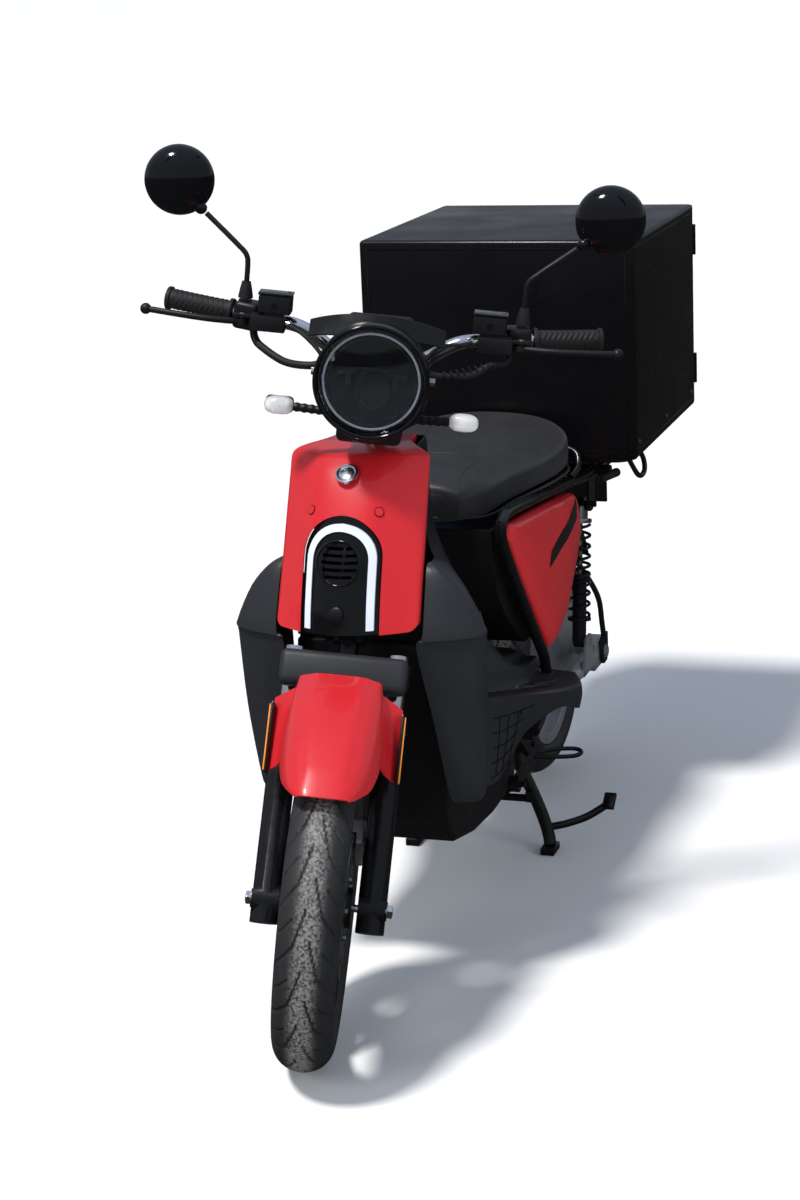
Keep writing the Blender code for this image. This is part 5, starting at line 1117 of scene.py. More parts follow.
TREAD = mat("tyre_rubber", (0.014, 0.014, 0.015), 0.62, grain=500, bump=0.3, depth=0.0004)
nt = TREAD.node_tree
_b = nt.nodes["Principled BSDF"]
_at = nt.nodes.new("ShaderNodeAttribute")
_at.attribute_name = "wear"
_nz = nt.nodes.new("ShaderNodeTexNoise")
_nz.inputs["Scale"].default_value = 240.0
_nz.inputs["Detail"].default_value = 9.0
_tc = nt.nodes.new("ShaderNodeTexCoord")
nt.links.new(_tc.outputs["Object"], _nz.inputs["Vector"])
_rm = nt.nodes.new("ShaderNodeMapRange")
_rm.inputs["From Min"].default_value = 0.35
_rm.inputs["From Max"].default_value = 0.62
nt.links.new(_nz.outputs["Fac"], _rm.inputs["Value"])
_mu = nt.nodes.new("ShaderNodeMath")
_mu.operation = "MULTIPLY"
nt.links.new(_at.outputs["Fac"], _mu.inputs[0])
nt.links.new(_rm.outputs["Result"], _mu.inputs[1])
_old = _b.inputs["Base Color"].links[0].from_socket
_mx = nt.nodes.new("ShaderNodeMix")
_mx.data_type = "RGBA"
_mx.inputs[7].default_value = (0.17, 0.165, 0.155, 1)
nt.links.new(_mu.outputs["Value"], _mx.inputs[0])
nt.links.new(_old, _mx.inputs[6])
nt.links.new(_mx.outputs[2], _b.inputs["Base Color"])

show(tyre_mesh(FRONT_AXLE), "v_front_tyre", TREAD, "front_wheel", "steer", 40, 0.0, ("front_tyre",))
show(tyre_mesh(REAR_AXLE), "v_rear_tyre", TREAD, "rear_wheel", "body", 40, 0.0, ("rear_tyre",))

# disc holes as dark countersinks, disc bolts, and the bolts and fins of the hub motor
for k in range(15):
    a = math.radians(24 * k)
    rr = 0.094 if k % 2 else 0.078
    c = FRONT_AXLE + Vector((0.0422, rr * math.cos(a), rr * math.sin(a)))
    # each hole is a thin black disc laid on the brake disc: painted shade standing in for the hollow of the hole
    show(rod(c, c + Vector((0.0005, 0, 0)), 0.0045), "disc_hole_%d" % k, BLACK, "front_wheel", "steer")
for k in range(5):
    a = math.radians(72 * k + 20)
    c = FRONT_AXLE + Vector((0.0421, 0.046 * math.cos(a), 0.046 * math.sin(a)))
    show(rod(c, c + Vector((0.004, 0, 0)), 0.0055, 6), "disc_bolt_%d" % k, STEEL, "front_wheel", "steer", 30, 0.0004)
for sx in (1, -1):
    ringp = [(0.111, 0.0), (0.113, 0.0015), (0.113, 0.004), (0.108, 0.005), (0.104, 0.003), (0.104, 0.0)]
    for k in range(8):
        a = math.radians(45 * k + 10)
        c = REAR_AXLE + Vector((sx * 0.0570, 0.1015 * math.cos(a), 0.1015 * math.sin(a)))
        show(rod(c, c + Vector((sx * 0.0045, 0, 0)), 0.005, 6), "motor_bolt_%s_%d" % ("l" if sx > 0 else "r", k), STEEL, "rear_wheel", "body", 30, 0.0004)
    for k in range(24):
        a = math.radians(15 * k)
        f = block((0.0035, 0.042, 0.0028), (sx * 0.0655, 0.0, 0.0))
        f.data.transform(Matrix.Rotation(sx * -0.32, 4, "Z"))
        f = transform(f, Matrix.Translation((0, 0.082, 0)))
        f = transform(f, Matrix.Rotation(a, 4, "X"))
        show(transform(f, Matrix.Translation(REAR_AXLE)), "motor_fin_%s_%d" % ("l" if sx > 0 else "r", k), CAST, "rear_wheel")
# valve stems
vs = rod(FRONT_AXLE + Vector((0.014, 0.0, -0.172)), FRONT_AXLE + Vector((0.020, 0.0, -0.148)), 0.0032)
show(vs, "valve_front", RUBBER, "front_wheel", "steer")

# ================================================================ grips
for side, tag in ((1, "left"), (-1, "right")):
    bm = bmesh.new()
    rings = []
    NZ, NA, Lg = 130, 84, 0.110
    for i in range(NZ + 1):
        z = Lg * i / NZ
        ring = []
        for j in range(NA):
            a = 2 * math.pi * j / NA
            if z < 0.006:
                r = GRIP_R + 0.0035 - max(0, 0.0012 - z) * 0.8
            elif z > Lg - 0.006:
                r = GRIP_R + 0.0022 - max(0, z - Lg + 0.0012) * 0.8
            else:
                r = GRIP_R - 0.0006 + 0.0012 * math.cos(math.pi * (z - Lg / 2) / Lg) * -0.5
                if 0.012 < z < Lg - 0.012:
                    tri = abs(((a / (2 * math.pi) * 4) % 1.0) - 0.5) * 2
                    s_ = math.sin(2 * math.pi * (z / 0.0085 + 0.85 * tri))
                    r += 0.0007 * max(-0.6, min(0.6, s_ * 2.2)) + 0.0003
            ring.append(bm.verts.new((r * math.cos(a), r * math.sin(a), z)))
        rings.append(ring)
    for a_, b_ in zip(rings, rings[1:]):
        for j in range(NA):
            bm.faces.new((a_[j], a_[(j + 1) % NA], b_[(j + 1) % NA], b_[j]))
    # end face rounds over to the bar end
    cap = [bm.verts.new((0.004 * math.cos(2 * math.pi * j / NA), 0.004 * math.sin(2 * math.pi * j / NA), Lg + 0.0012)) for j in range(NA)]
    for j in range(NA):
        bm.faces.new((rings[-1][j], rings[-1][(j + 1) % NA], cap[(j + 1) % NA], cap[j]))
    bm.faces.new(cap)
    inner = [bm.verts.new(((BAR_R + 0.0008) * math.cos(2 * math.pi * j / NA), (BAR_R + 0.0008) * math.sin(2 * math.pi * j / NA), 0.0)) for j in range(NA)]
    for j in range(NA):
        bm.faces.new((inner[j], inner[(j + 1) % NA], rings[0][(j + 1) % NA], rings[0][j]))
    g = as_obj(bm)
    q = Vector((0, 0, 1)).rotation_difference(Vector((side * GD.x, GD.y, GD.z)))
    transform(g, Matrix.Translation(on_bar(0.2365, side)) @ q.to_matrix().to_4x4())
    node = "grip_left" if side > 0 else "throttle_grip"
    show(g, "v_" + node, RUBBER, BODY[node], "steer", 40, 0.0, (node,))

    # mirror heads: glossy moulded back, rim and glass
    head_c = Vector((side * 0.3375, -0.2465, 1.2580))
    prof = [(0.0, 0.0272)]
    for k in range(1, 22):
        t = math.pi / 2 * k / 21
        prof.append((0.0550 * math.sin(t), -0.0085 + 0.0357 * math.cos(t) ** 0.92 if k < 21 else -0.0085))
    prof += [(0.0551, -0.0110), (0.0536, -0.0116), (0.0520, -0.0110), (0.0514, -0.0088), (0.0, -0.0088)]
    dome = turned(prof, 24, "-Y")
    transform(dome, Matrix.Translation(head_c))
    # shallow moulded crescent across the back
    cres = turned([(0.0345, 0.0000), (0.0345, 0.0300), (0.0362, 0.0300), (0.0362, 0.0000)], 24, "-Y", closed=True)
    transform(cres, Matrix.Translation(head_c + Vector((side * -0.010, 0.0020, 0.010))))
    cres = common(cres, block((0.050, 0.2, 0.022), head_c + Vector((side * -0.006, 0, 0.030)), bevel=0.001))
    sock = rod((side * 0.2950, -0.2514, 1.2155), (side * 0.3050, -0.2495, 1.2240), 0.0085)
    sock2 = ball((side * 0.2995, -0.2508, 1.2190), 0.0098)
    dome = cut(dome, cres)
    show(union(dome, union(sock, sock2)), "v_mirror_head_" + tag, GLOSSBLK, "mirror_head_" + tag, "steer", 32, 0.0, ("mirror_head_" + tag,))
    gl = turned([(0.0, -0.0090), (0.0510, -0.0090), (0.0508, -0.0098), (0.0, -0.0101)], 24, "-Y")
    transform(gl, Matrix.Translation(head_c))
    show(gl, "mirror_glass_" + tag, GLASS_M, "mirror_head_" + tag, "steer", 50)
    # rubber boot at the foot of the stalk
    F = on_bar(0.2125, side) + Vector((side * 0.006, -0.002, 0.0))
    boot = turned([(0.0045, 1.1140), (0.0070, 1.1138), (0.0078, 1.1100), (0.0090, 1.1050), (0.0100, 1.1000), (0.0112, 1.0930), (0.0118, 1.0880), (0.0045, 1.0878)], 24, "Z", closed=True)
    show(transform(boot, Matrix.Translation((F.x, F.y, 0))), "mirror_boot_" + tag, RUBBER, "mirror_stalk_" + tag, "steer", 30)

    # indicators: ribbed stalk and clear oval lens
    node = "indicator_" + tag
    prof = [(0.0, 0.0)]
    n = 26
    for k in range(n + 1):
        x = 0.075 * k / n
        prof.append((0.0062 + (0.0012 if (k // 2) % 2 and x > 0.024 else 0.0), x))
    prof.append((0.0, 0.075))
    armp = turned(prof, 16, "Z")
    q = Vector((0, 0, 1)).rotation_difference((Vector((side * 0.1250, -0.3815, 0.9475)) - Vector((side * 0.050, -0.3840, 0.9450))).normalized())
    transform(armp, Matrix.Translation((side * 0.050, -0.3840, 0.9450)) @ q.to_matrix().to_4x4())
    show(armp, "indicator_arm_" + tag, PLASTIC, "steering", "steer", 30)
    base = block((0.044, 0.016, 0.0265), (side * 0.1425, -0.3745, 0.9480), bevel=0.0075)
    show(base, "indicator_back_" + tag, PLASTIC, "steering", "steer", 30)
    lens = ball((0, 0, 0), 1.0)
    for v in lens.data.vertices:
        x, y, z = v.co
        f = lambda t, e: math.copysign(abs(t) ** e, t)
        v.co = (0.0232 * f(x, 0.75), 0.0150 * f(y, 0.9), 0.0142 * f(z, 0.75))
    transform(lens, Matrix.Translation((side * 0.1425, -0.3815, 0.9480)))
    show(lens, "v_" + node, INDLENS, "steering", "steer", 60, 0.0, (node,))

# ================================================================ springs
for side, tag in ((1, "left"), (-1, "right")):
    L_ = Vector((side * SHOCK_L.x, SHOCK_L.y, SHOCK_L.z))
    U_ = Vector((side * SHOCK_U.x, SHOCK_U.y, SHOCK_U.z))
    d = (U_ - L_).normalized()
    length = (U_ - L_).length
    ref = Vector((1, 0, 0))
    e2 = d.cross(ref).normalized()
    pts = []
    turns, n = 9.0, 26
    s0, s1 = 0.0500, length - 0.0400
    tot = int(turns * n)
    for k in range(tot + 1):
        a = 2 * math.pi * k / n
        f = k / tot
        f = f + 0.02 * math.sin(2 * math.pi * f)
        pts.append(L_ + d * (s0 + (s1 - s0) * f) + (ref * math.cos(a) + e2 * math.sin(a)) * 0.0190)
    show(pipe(pts, 0.0031), "v_shock_spring_" + tag, BLACK, "shock_rod_" + tag, "body", 60, 0.0, ("shock_spring_" + tag,))
    # bump rubber
    show(rod(L_ + d * 0.1185, L_ + d * 0.128, 0.0105), "bump_rubber_" + tag, RUBBER, "shock_body_" + tag, "body", 30, 0.001)

# ================================================================ seat
def seat_mesh():
    base = [(-0.100, 0.062, 0.7110, 0.7540), (-0.088, 0.092, 0.7060, 0.7700), (-0.040, 0.121, 0.7020, 0.7840), (0.060, 0.1345, 0.7030, 0.7840), (0.150, 0.153, 0.7040, 0.7810),
            (0.250, 0.164, 0.7000, 0.7830), (0.340, 0.160, 0.6945, 0.7890), (0.400, 0.142, 0.6920, 0.7910), (0.432, 0.118, 0.6960, 0.7830), (0.440, 0.095, 0.7050, 0.7720)]
    rows = spline([Vector((a, b, 0)) for a, b, _, _ in base], 12)
    zz = spline([Vector((a, c, d)) for a, _, c, d in base], 12)
    secs = []
    NA = 112
    for p, q in zip(rows, zz):
        y, hw, zb, zt = p.x, max(0.02, p.y), q.y, q.z
        ring = []
        for k in range(NA):
            a = 2 * math.pi * (k + 0.5) / NA
            ca, sa = math.cos(a), math.sin(a)
            px = hw * math.copysign(abs(ca) ** (0.80 if sa > 0 else 0.62), ca)
            hz = (zt - zb) / 2
            crown = 0.0035 * (1 - (px / hw) ** 2) if sa > 0 else 0.0
            pz = (zt + zb) / 2 + hz * math.copysign(abs(sa) ** (0.66 if sa > 0 else 0.35), sa) + crown
            # side seam: the cover is sewn to a boxed border
            seam = math.exp(-((pz - (zt - 0.019)) / 0.0016) ** 2) if sa > 0 and abs(px) > 0.72 * hw else 0.0
            # cross seams on the top
            u = px / hw
            cross = 0.0
            for ys, bow in ((-0.012, 0.040), (0.215, -0.030)):
                d = (y - (ys + bow * u * u)) / 0.0020
                cross = max(cross, math.exp(-d * d)) if sa > 0 else cross
            k_ = 1.0 - 0.010 * seam
            wr = 0.0007 * noise.noise(Vector((px * 14, y * 14, pz * 20))) + 0.0004 * noise.noise(Vector((px * 45, y * 45, pz * 45)))
            ring.append((px * k_, y, pz - 0.0019 * cross + (wr if sa > 0 else 0)))
        secs.append(ring)
    return loft(secs)


seat = seat_mesh()
show(seat, "v_seat", VINYL, "seat", "body", 50, 0.0, ("seat",))
# welt cord round the border, above the pan
ring = []
for y, hw, z in ((-0.085, 0.080, 0.7130), (-0.040, 0.1195, 0.7090), (0.060, 0.1330, 0.7090), (0.150, 0.1515, 0.7095), (0.250, 0.1635, 0.7070), (0.340, 0.1595, 0.7025), (0.400, 0.1415, 0.7010), (0.430, 0.110, 0.7050)):
    ring.append(Vector((hw, y, z)))
loop = [Vector((0, -0.1010, 0.716)), Vector((0.045, -0.0985, 0.7150))] + ring + [Vector((0.06, 0.4400, 0.7085)), Vector((0, 0.4405, 0.7085))]
half_ = spline(loop, 8)
full_ = half_ + [Vector((-p.x, p.y, p.z)) for p in reversed(half_[1:-1])]
show(pipe(full_, 0.0024, 4, True), "seat_welt", VINYL, "seat", "body", 60)

# ================================================================ side panels
outline = [(-0.052, 0.674), (-0.042, 0.690), (-0.020, 0.6915), (0.100, 0.6815), (0.250, 0.6660), (0.350, 0.6545), (0.405, 0.6400), (0.432, 0.600), (0.436, 0.562),
           (0.375, 0.500), (0.300, 0.445), (0.240, 0.4180), (0.196, 0.4160), (0.158, 0.4500), (0.046, 0.5680), (-0.034, 0.6560)]
closed = [Vector((0, a, b)) for a, b in outline]
dn = spline([closed[-1]] + closed + [closed[0], closed[1]], 7)[7:-7]
dn = dn[:-1] if (dn[0] - dn[-1]).length < 1e-5 else dn
cx = sum(p.y for p in dn) / len(dn)
cz = sum(p.z for p in dn) / len(dn)
for side, tag in ((1, "left"), (-1, "right")):
    rings = []
    for f, x in ((1.0, 0.1475), (1.0, 0.1500), (0.992, 0.1530), (0.975, 0.1560), (0.945, 0.1588), (0.90, 0.1612), (0.83, 0.1634), (0.74, 0.1654), (0.62, 0.1672), (0.48, 0.1685), (0.32, 0.1695), (0.16, 0.1702), (0.04, 0.1704)):
        rings.append([Vector((side * x, cx + (p.y - cx) * f, cz + (p.z - cz) * f)) for p in dn])
    # soft ridge running down the rear third
    for r_ in rings[3:]:
        for p in r_:
            d = (p.y - (0.285 + (0.60 - p.z) * 0.10)) / 0.030
            p.x += side * (0.0022 * math.exp(-d * d) * min(1.0, 1.0))
            d2 = (p.z - (0.618 - p.y * 0.12)) / 0.05
            p.x -= side * 0.0015 * math.exp(-d2 * d2)
    bm = bmesh.new()
    vr = [[bm.verts.new(p) for p in r_] for r_ in rings]
    n = len(dn)
    for a_, b_ in zip(vr, vr[1:]):
        for j in range(n):
            bm.faces.new((a_[j], a_[(j + 1) % n], b_[(j + 1) % n], b_[j]))
    bm.faces.new(vr[-1])
    ob = as_obj(bm)
    so = ob.modifiers.new("Solidify", "SOLIDIFY")
    so.thickness = 0.0025
    so.offset = -1.0 if side > 0 else 1.0
    ob = weld(evaluated(ob))
    show(ob, "v_side_panel_" + tag, RED, "frame", "body", 50, 0.0, ("side_panel_" + tag,))

# plain dark decal strip laid on the panels
from mathutils.bvhtree import BVHTree


def drape(ob, pts, out, sx):
    """Points (y, z) of the drawing laid on the outer side of a shown piece."""
    tree = BVHTree.FromPolygons([v.co for v in ob.data.vertices], [tuple(p.vertices) for p in ob.data.polygons])
    res = []
    for y, z in pts:
        hit = tree.ray_cast(Vector((sx * 0.5 - OX, y - OY, z)), Vector((-sx, 0, 0)))[0]
        if hit is None:
            return None
        res.append(Vector((hit.x + OX + sx * out, y, z)))
    return res


for side, tag in ((1, "left"), (-1, "right")):
    pan = bpy.data.objects["v_side_panel_" + tag]
    rows = []
    for i in range(7):
        row = []
        for j in range(15):
            t = j / 14
            y = 0.150 + 0.215 * t + 0.014 * (i / 6)
            z = 0.571 + 0.036 * t + (0.026 + 0.008 * t) * (i / 6)
            row.append((y, z))
        rows.append(row)
    flat = drape(pan, [p for r_ in rows for p in r_], 0.0007, side)
    if flat:
        show(sheet([flat[k * 15:(k + 1) * 15] for k in range(7)], 0.0005, 0.0), "panel_decal_" + tag, GLOSSBLK, "frame", "body", 60)

# ================================================================ headlight
def hl_turn(prof, steps, name, m, closed=False):
    ob = turned(prof, steps, "-Y", closed=closed)
    transform(ob, Matrix.Translation(HL))
    return show(ob, name, m, "steering", "steer", 40)


def torus(R_, r_, h, n=20):
    return [(R_ + r_ * math.cos(2 * math.pi * k / n), h + r_ * math.sin(2 * math.pi * k / n)) for k in range(n)]


hl_turn(torus(0.0846, 0.0036, -0.001), 32, "headlight_bezel", GLOSSBLK, True)
hl_turn([(0.0, -0.0420), (0.030, -0.0415), (0.052, -0.0340), (0.064, -0.0200), (0.0690, -0.0140), (0.0815, -0.0140), (0.0815, -0.0160), (0.066, -0.0175),
         (0.050, -0.0380), (0.0, -0.0440)], 32, "headlight_bowl", BOWL)
hl_turn(torus(0.0725, 0.0020, -0.0120), 32, "headlight_halo", HALO, True)
hl_turn(torus(0.0765, 0.0010, -0.0110), 32, "headlight_halo_outer", SMOKE, True)
for sx in (1, -1):
    show(block((0.0045, 0.004, 0.010), HL + Vector((sx * 0.0728, 0.0085, 0.0)), bevel=0.001), "halo_mark_%s" % ("l" if sx > 0 else "r"), WHITE, "steering", "steer", 30)
# projector with its ring, a shelf and two side blades
pc = Vector((0.002, -0.018, -0.018))
hl2 = turned([(0.0, 0.0080), (0.010, 0.0072), (0.0185, 0.0030), (0.0215, -0.0030), (0.0215, -0.016), (0.0, -0.016)], 24, "-Y")
transform(hl2, Matrix.Translation(HL + Vector((0.002, 0.020, -0.018))))
show(hl2, "projector_lens", GLOSSBLK, "steering", "steer", 60)
hl3 = turned([(0.0222, 0.001), (0.0262, 0.0005), (0.0275, -0.004), (0.0275, -0.020), (0.0222, -0.020)], 24, "-Y", closed=True)
transform(hl3, Matrix.Translation(HL + Vector((0.002, 0.020, -0.018))))
show(hl3, "projector_ring", SMOKE, "steering", "steer", 40)
for sx in (1, -1):
    bl = block((0.026, 0.010, 0.0065), HL + Vector((sx * 0.040, 0.022, 0.010)), Matrix.Rotation(math.radians(sx * 8), 4, "Y"))
    show(bl, "headlight_blade_%s" % ("l" if sx > 0 else "r"), SMOKE, "steering", "steer", 30, 0.0008)
    bl = block((0.008, 0.010, 0.022), HL + Vector((sx * 0.036, 0.023, -0.002)))
    show(bl, "headlight_post_%s" % ("l" if sx > 0 else "r"), SMOKE, "steering", "steer", 30, 0.0008)
    sc_ = HL + Vector((sx * 0.0905, 0.050, 0.0))
    show(rod(sc_ - Vector((sx * 0.008, 0, 0)), sc_ + Vector((sx * 0.004, 0, 0)), 0.0065, 6), "headlight_bolt_%s" % ("l" if sx > 0 else "r"), STEEL, "steering", "steer", 30, 0.0004)
shelf = block((0.090, 0.010, 0.0030), HL + Vector((0, 0.026, 0.016)))
show(shelf, "headlight_shelf", BOWL, "steering", "steer", 30)
show(block((0.100, 0.062, 0.030), (0, -0.3880, 0.9220), bevel=0.010, seg=4), "headlight_collar", PLASTIC, "steering", "steer", 30)
redstrip = hl_turn([(0.0640, -0.0135), (0.0670, -0.0130), (0.0670, -0.0155), (0.0640, -0.0160)], 32, "headlight_inner_ring", GLOSSBLK, True)

# ================================================================ trim on the shield
def on_shield(x, z, out=0.0):
    return Vector((x, shield_y(x, z) - out, z))


bz = 0.857
bdg = turned([(0.0, 0.0042), (0.0100, 0.0040), (0.0125, 0.0030), (0.0150, 0.0046), (0.0178, 0.0036), (0.0185, 0.0), (0.0, 0.0)], 20, "-Y")
nrm = math.radians(-52)
transform(bdg, Matrix.Translation(on_shield(0, bz, 0.0) + Vector((0, 0.0005, 0))) @ Matrix.Rotation(math.radians(-50), 4, "X"))
show(bdg, "shield_badge", CHROME, "frame", "body", 40)
def shield_matrix(x, z, out=0.0):
    """Places a piece drawn on the -Y side of the origin on the shield's surface."""
    dx = (shield_y(x + 0.002, z) - shield_y(x - 0.002, z)) / 0.004
    dz = (shield_y(x, z + 0.004) - shield_y(x, z - 0.004)) / 0.008
    nrm_ = Vector((dx, -1.0, dz)).normalized()
    q = Vector((0, -1, 0)).rotation_difference(nrm_)
    return Matrix.Translation(Vector((x, shield_y(x, z), z)) + nrm_ * out) @ q.to_matrix().to_4x4()


for sx in (1, -1):
    cap = turned([(0.0, 0.0006), (0.0064, 0.0006), (0.0067, 0.0002), (0.0067, -0.002), (0.0, -0.002)], 16, "-Y")
    show(transform(cap, shield_matrix(sx * 0.0545, 0.803, 0.0016)), "shield_plug_%s" % ("l" if sx > 0 else "r"), RED, "frame", "body", 30)
    # near-black ring round the plug: painted shade in the gap between plug and shield
    rg = turned([(0.0066, 0.0003), (0.0078, 0.0003), (0.0078, -0.002), (0.0066, -0.002)], 16, "-Y", closed=True)
    show(transform(rg, shield_matrix(sx * 0.0545, 0.803, 0.0010)), "shield_plug_gap_%s" % ("l" if sx > 0 else "r"), GROOVE_SHADE, "frame", "body", 30)
# round louvred grille ring and the lower lock
gr = turned(torus(0.0345, 0.0020, 0.0, 14), 24, "-Y", closed=True)
transform(gr, Matrix.Translation((0, shield_y(0, 0.731) + 0.0040, 0.731)) @ Matrix.Rotation(math.radians(-12), 4, "X"))
show(gr, "grille_ring", GLOSSBLK, "frame", "body", 40)
lk = turned([(0.0, 0.0030), (0.0100, 0.0026), (0.0120, 0.0012), (0.0124, -0.002), (0.0, -0.002)], 20, "-Y")
transform(lk, Matrix.Translation((0, shield_y(0, 0.655) + 0.0035, 0.655)) @ Matrix.Rotation(math.radians(-8), 4, "X"))
show(lk, "arch_plug", PLASTIC, "frame", "body", 40)

# ================================================================ fork trim
ORANGE = AMBER
for sx in (1, -1):
    a = Vector((sx * 0.0985, -0.590, 0.540))
    b = Vector((sx * 0.0985, -0.640, 0.440))
    dirn = (b - a).normalized()
    q = Vector((0, 0, 1)).rotation_difference(dirn)
    back = block((0.0050, 0.026, 0.108), (0, 0, 0), bevel=0.002)
    transform(back, Matrix.Translation((a + b) / 2) @ q.to_matrix().to_4x4())
    show(back, "side_reflector_back_%s" % ("l" if sx > 0 else "r"), BLACK, "fork_lower", "steer", 30)
    refl = block((0.0030, 0.021, 0.100), (sx * 0.0032, 0, 0), bevel=0.001)
    transform(refl, Matrix.Translation((a + b) / 2) @ q.to_matrix().to_4x4())
    show(refl, "side_reflector_%s" % ("l" if sx > 0 else "r"), AMBER, "fork_lower", "steer", 30)
    # dust wiper at the top of the lower leg and a washer at the axle
    wip = turned([(0.0158, 0.546), (0.0225, 0.546), (0.0235, 0.541), (0.0232, 0.530), (0.0222, 0.528), (0.0158, 0.5462)], 20, "Z", closed=True)
    wip = turned([(0.0156, 0.5475), (0.0205, 0.5475), (0.0232, 0.5445), (0.0238, 0.5300), (0.0222, 0.5285), (0.0222, 0.5462), (0.0156, 0.5462)], 20, "Z", closed=True)
    show(fork(transform(wip, Matrix.Translation((sx * FORK_X, -FORK_O, 0)))), "fork_wiper_%s" % ("l" if sx > 0 else "r"), RUBBER, "fork_lower", "steer", 30)
    wash = rod((sx * 0.1021, FRONT_AXLE.y, FRONT_AXLE.z), (sx * 0.1034, FRONT_AXLE.y, FRONT_AXLE.z), 0.0145)
    show(wash, "axle_washer_%s" % ("l" if sx > 0 else "r"), STEEL, "fork_lower", "steer", 30)
for k in (0, 1):
    c = Vector((0.0575, -0.5900 + 0.020 * k, 0.305 + 0.036 * k))
    show(rod(c, c + Vector((0.006, 0, 0)), 0.0055, 6), "caliper_bolt_%d" % k, CHROME, "fork_lower", "steer", 30, 0.0004)

# ================================================================ cables and hoses
def hose(pts, r, name, m=RUBBER, body="steering", group="steer"):
    return show(curve(pts, r, 7), name, m, body, group, 60)


hose([(0.150, -0.300, 1.060), (0.120, -0.318, 1.052), (0.085, -0.335, 1.030), (0.070, -0.345, 0.990), (0.056, -0.352, 0.945), (0.046, -0.378, 0.928)], 0.0034, "hose_left_brake")
hose([(-0.150, -0.300, 1.060), (-0.118, -0.320, 1.048), (-0.085, -0.338, 1.020), (-0.072, -0.346, 0.980), (-0.056, -0.352, 0.945), (-0.044, -0.378, 0.928)], 0.0034, "hose_right_brake")
hose([(-0.202, -0.273, 1.043), (-0.197, -0.287, 1.030), (-0.184, -0.302, 1.020), (-0.145, -0.322, 1.004), (-0.105, -0.334, 1.004), (-0.073, -0.336, 1.012), (-0.050, -0.338, 1.000)], 0.0062, "wire_loom_right")
hose([(0.202, -0.273, 1.043), (0.197, -0.287, 1.030), (0.176, -0.300, 1.026), (0.145, -0.316, 1.010), (0.100, -0.330, 1.006), (0.070, -0.338, 1.010), (0.050, -0.338, 1.000)], 0.0058, "wire_loom_left")
hose([(0.148, -0.300, 1.048), (0.128, -0.330, 1.058), (0.098, -0.338, 1.055), (0.080, -0.340, 1.040), (0.060, -0.345, 1.000)], 0.0028, "cable_left_thin")
for k in range(9):
    p = Vector((0.180, -0.2985, 1.024)).lerp(Vector((0.105, -0.329, 1.006)), k / 8)
    d = Vector((0.075, 0.030, 0.018)).normalized()
    show(rod(p - d * 0.0016, p + d * 0.0016, 0.0078), "conduit_rib_%d" % k, PLASTIC, "steering", "steer", 30)
for sx in (1, -1):
    fit = rod((sx * 0.142, -0.303, 1.0590), (sx * 0.152, -0.300, 1.0600), 0.0062)
    show(fit, "hose_fitting_%s" % ("l" if sx > 0 else "r"), CHROME, "steering", "steer", 30, 0.0006)
    # reservoir cap with its two screws, the sight glass and the lever bolt
    capc = Vector((sx * 0.1680, -0.2900, 1.1040))
    show(block((0.054, 0.038, 0.0035), capc, bevel=0.0012), "reservoir_cap_%s" % ("l" if sx > 0 else "r"), GLOSSBLK, "steering", "steer", 30)
    for k in (-1, 1):
        c = capc + Vector((k * 0.020, k * 0.010, 0.0014))
        show(rod(c, c + Vector((0, 0, 0.0014)), 0.0028), "cap_screw_%s_%d" % ("l" if sx > 0 else "r", k + 1), STEEL, "steering", "steer", 30)
    win = rod((sx * 0.1680, -0.3085, 1.0860), (sx * 0.1680, -0.3070, 1.0860), 0.0055)
    show(win, "sight_glass_%s" % ("l" if sx > 0 else "r"), SMOKE, "steering", "steer", 30)
    c = Vector((sx * 0.2185, -0.2980, 1.0615))
    show(rod(c, c + Vector((0, 0, 0.0080)), 0.0048, 6), "lever_bolt_%s" % ("l" if sx > 0 else "r"), STEEL, "steering", "steer", 30, 0.0004)

# dashboard behind the headlight, facing the rider
dash_m = Matrix.Translation((0, -0.336, 1.072)) @ Matrix.Rotation(math.radians(50), 4, "X")
dsh = block((0.100, 0.046, 0.022), (0, 0, 0), bevel=0.008)
show(transform(dsh, dash_m), "dash_housing", PLASTIC, "steering", "steer", 30)
scr = block((0.080, 0.032, 0.003), (0, 0, 0.0115), bevel=0.001)
show(transform(scr, dash_m), "dash_screen", SCREEN, "steering", "steer", 30)

# ================================================================ body trim
def lock(c, axis_, r, name, m=CHROME):
    a = Vector(axis_).normalized()
    show(rod(Vector(c), Vector(c) + a * 0.006, r), name, m, "frame", "body", 30, 0.0012)
    show(block((0.0016, r * 1.1, 0.0006), (0, 0, 0)) if False else rod(Vector(c) + a * 0.006, Vector(c) + a * 0.0066, r * 0.55), name + "_core", BLACK, "frame", "body", 30)


lock((-0.050, -0.2365, 0.820), (0, 1, 0), 0.0110, "ignition_lock")
lock((0.1305, 0.060, 0.560), (1, 0, 0), 0.0095, "seat_lock")
# luggage hook on the rider side
hose([(0.0, -0.228, 0.790), (0.0, -0.208, 0.786), (0.0, -0.200, 0.772), (0.0, -0.206, 0.758), (0.0, -0.218, 0.756)], 0.0045, "bag_hook", CHROME, "frame", "body")
# grab hoop behind the seat
hp_ = [(0.150, 0.400, 0.676), (0.157, 0.425, 0.690), (0.150, 0.4445, 0.712), (0.120, 0.4495, 0.722), (0.060, 0.4495, 0.726), (0.0, 0.4495, 0.727)]
hp2 = spline(hp_, 6)
hp3 = hp2 + [Vector((-p.x, p.y, p.z)) for p in reversed(hp2[:-1])]
show(pipe(hp3, 0.0062), "grab_hoop", BLACK, "frame", "body", 60)
# rubber damper rod under the rack, left side
show(rod((0.168, 0.552, 0.640), (0.180, 0.640, 0.634), 0.0085), "rack_damper", RUBBER, "frame", "body", 30, 0.001)

